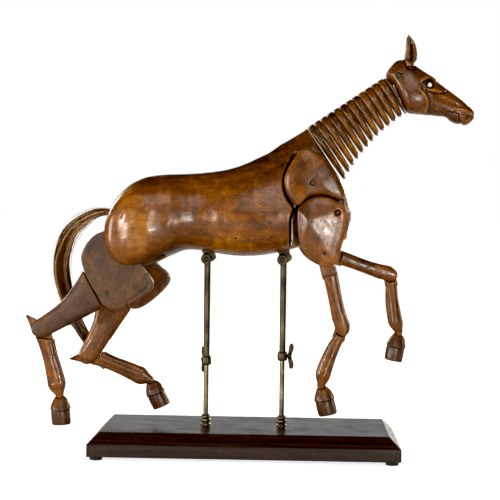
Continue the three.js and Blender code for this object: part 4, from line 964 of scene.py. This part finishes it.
def growTail():
    rng = np.random.default_rng(11)
    dense = np.array(tween([[row] for row in tail["path"]], 12))
    centre, wide = dense[:, :3] + [boxShift, 0, 0], dense[:, 3]
    along = np.gradient(centre, axis=0)
    along /= np.linalg.norm(along, axis=1)[:, None]
    across = np.array([0, 1, 0]) - along * along[:, 1:2]
    across /= np.linalg.norm(across, axis=1)[:, None]
    upward = np.cross(along, across)
    walk = np.linspace(0, 1, len(dense))
    # Angle, radius, twist, phase, reach, drift and tone of each lock
    locks = [(rng.uniform(0, 2 * math.pi), 0.92 * math.sqrt(rng.uniform()), rng.uniform(-1.4, 1.4),
              rng.uniform(0, 6.3), rng.uniform(0.72, 1), rng.normal(size=2), rng.uniform())
             for _ in range(tail["locks"])]
    curve = bpy.data.curves.new("tailHair", "CURVE")
    curve.dimensions = "3D"
    curve.bevel_mode = "OBJECT"
    curve.bevel_object = strandProfile()
    tones = []
    for _ in range(tail["strands"]):
        angle, radius, twist, phase, reach, drift, lockTone = locks[rng.integers(len(locks))]
        stray = rng.uniform() < tail["strayShare"]
        own = rng.normal(size=2) * tail["straySpread" if stray else "ownSpread"]
        end = min(1.0, reach * rng.uniform(0.88, 1.06)) * (0.8 if stray else 1)
        steps = np.linspace(0, end, tail["stations"])
        width = np.interp(steps, walk, wide)
        flatter = np.minimum(width, tail["flatFrom"] + (width - tail["flatFrom"]) * tail["flatten"])
        turn = angle + twist * steps
        waves = 0.09 * np.sin(steps * 13 + phase) + 0.05 * np.sin(steps * 31 + phase * 2.3)
        lift = radius * np.cos(turn) + own[0] * (0.4 + steps) + waves + drift[0] * 0.2 * steps ** 2
        side = radius * np.sin(turn) + own[1] * (0.4 + steps) + drift[1] * 0.28 * steps ** 2
        if stray:
            lift += rng.normal() * 0.5 * np.sin(math.pi * steps / max(end, 0.3))
        track = (sampled(centre, walk, steps) + sampled(upward, walk, steps) * (lift * width)[:, None]
                 + sampled(across, walk, steps) * (side * flatter)[:, None])
        spline = curve.splines.new("POLY")
        spline.points.add(tail["stations"] - 1)
        spline.points.foreach_set("co", np.hstack([track * mm, np.ones((len(track), 1))]).ravel())
        taper = np.clip(1.15 - steps / end, 0.18, 1) ** 0.5 * (0.6 if stray else 1)
        spline.points.foreach_set("radius", taper)
        tones.append(np.clip(0.1 + 0.72 * lockTone ** 1.5 + rng.normal() * 0.2 + 0.3 * stray, 0, 1))
    mesh = finished(addObject("tailCurve", curve))
    bpy.data.objects.remove(curve.bevel_object)
    perStrand = len(mesh.vertices) // tail["strands"]
    writeAttribute(mesh, "hairTone", "FLOAT", np.repeat(tones, perStrand))
    mesh.shade_smooth()
    addPiece("tail_hair", mesh, horsehair(), "tail")


growTail()
print("tail grown")


# The plinth and its felt feet keep their solid forms

for node, thing in frame["nodes"].items():
    if thing.hide_render:
        continue
    thing.data.materials.clear()
    thing.data.materials.append(plinthPolish if node == "plinth" else padFelt)


# Floor, light and camera

floorBm = bmesh.new()
bmesh.ops.create_grid(floorBm, x_segments=2, y_segments=2, size=30)
floorMesh = bpy.data.meshes.new("floor")
floorBm.to_mesh(floorMesh)
floorBm.free()
floorPaint, floorShader = newMaterial("floorPaint")
seen = addNode(floorPaint, "LightPath", {}).outputs["Is Camera Ray"]
place = addNode(floorPaint, "TexCoord", {}).outputs["Object"]
far = addNode(floorPaint, "VectorMath", {0: place}, operation="LENGTH").outputs["Value"]
bright = addNode(floorPaint, "MapRange", {"Value": far, "From Min": 0.3, "From Max": 0.9,
                 "To Min": 0.76, "To Max": 1.05}).outputs["Result"]
lift = addNode(floorPaint, "Math", {0: seen, 1: bright}, operation="MULTIPLY").outputs[0]
setSockets(floorPaint, floorShader, {"Base Color": fromHex(0xf4f3f1), "Roughness": 0.9,
                                     "Emission Color": (1, 1, 1, 1), "Emission Strength": lift})
floorMesh.materials.append(floorPaint)
floor = addObject("floor", floorMesh)

# The backdrop is lit white and seen directly; the room round it is dark, with a pale strip behind
glow = {"seen": 1.0, "room": 0.04, "strip": 0.5}
world = bpy.data.worlds.new("studio")
scene.world = world
world.use_nodes = True
around = addNode(world, "TexCoord", {}).outputs["Generated"]
heading = addNode(world, "SeparateXYZ", {0: around})
height = addNode(world, "ValToRGB", {"Fac": heading.outputs["Z"]},
                 [(0.02, 0.0), (0.06, 1.0), (0.19, 1.0), (0.3, 0.0)]).outputs["Color"]
behind = addNode(world, "ValToRGB", {"Fac": heading.outputs["Y"]},
                 [(0.4, 0.0), (0.75, 1.0)]).outputs["Color"]
strip = addNode(world, "Math", {0: height, 1: behind}, operation="MULTIPLY").outputs[0]
room = addNode(world, "Math", {0: strip, 1: glow["strip"], 2: glow["room"]},
               operation="MULTIPLY_ADD").outputs[0]
seen = addNode(world, "LightPath", {}).outputs["Is Camera Ray"]
level = addNode(world, "MapRange", {"Value": seen, "To Min": room, "To Max": glow["seen"]})
setSockets(world, world.node_tree.nodes["Background"], {"Color": (1, 1, 1, 1),
                                                        "Strength": level.outputs["Result"]})
grade = scene.view_settings
grade.view_transform = "Standard"
grade.use_curve_mapping = True
grade.curve_mapping.black_level = (0.012, 0.0115, 0.011)

lampColour = (1, 0.95, 0.87)  # warm white
lamps = [  # name, place, aim, size in metres, watts
    ("frontRight", (0.44, -1.65, 0.22), (0, 0, 0.26), 0.085, 8),
    ("frontLeft", (-0.8, -1.45, 0.3), (0, 0, 0.26), 0.15, 8),
    ("left", (-1.5, -0.7, 0.33), (0, 0, 0.25), 0.42, 14),
    ("fill", (0.1, -1.5, 1.1), (0, 0, 0.25), 0.7, 6),
    ("right", (1.6, 0.25, 0.5), (0, 0, 0.25), 0.5, 9),
    ("backRight", (0.9, 1.7, 0.6), (0, 0, 0.22), 0.5, 16),
    ("backLeft", (-1.3, 1.3, 0.9), (0, 0, 0.22), 0.5, 14),
]
for name, place, aim, size, watts in lamps:
    lamp = bpy.data.lights.new(name, "AREA")
    lamp.size, lamp.energy = size, watts
    lamp.color = lampColour
    holder = addObject(name, lamp)
    holder.location = place
    holder.rotation_euler = (Vector(aim) - Vector(place)).to_track_quat("-Z", "Y").to_euler()

# The camera that was fitted to the photo, with its place in mm and its turns in radians
view = {"place": (49.375 + boxShift, -1528.0, 268.718), "yaw": -0.031, "pitch": -0.030, "roll": 0.013,
        "lens": 100, "sensor": 36}
camera = addObject("camera", bpy.data.cameras.new("camera"))
camera.data.lens, camera.data.sensor_width = view["lens"], view["sensor"]
camera.matrix_world = (Matrix.Translation(Vector(view["place"]) * mm)
                       @ Matrix.Rotation(-view["yaw"], 4, "Z")
                       @ Matrix.Rotation(math.pi / 2 + view["pitch"], 4, "X")
                       @ Matrix.Rotation(view["roll"], 4, "Z"))
scene.camera = camera
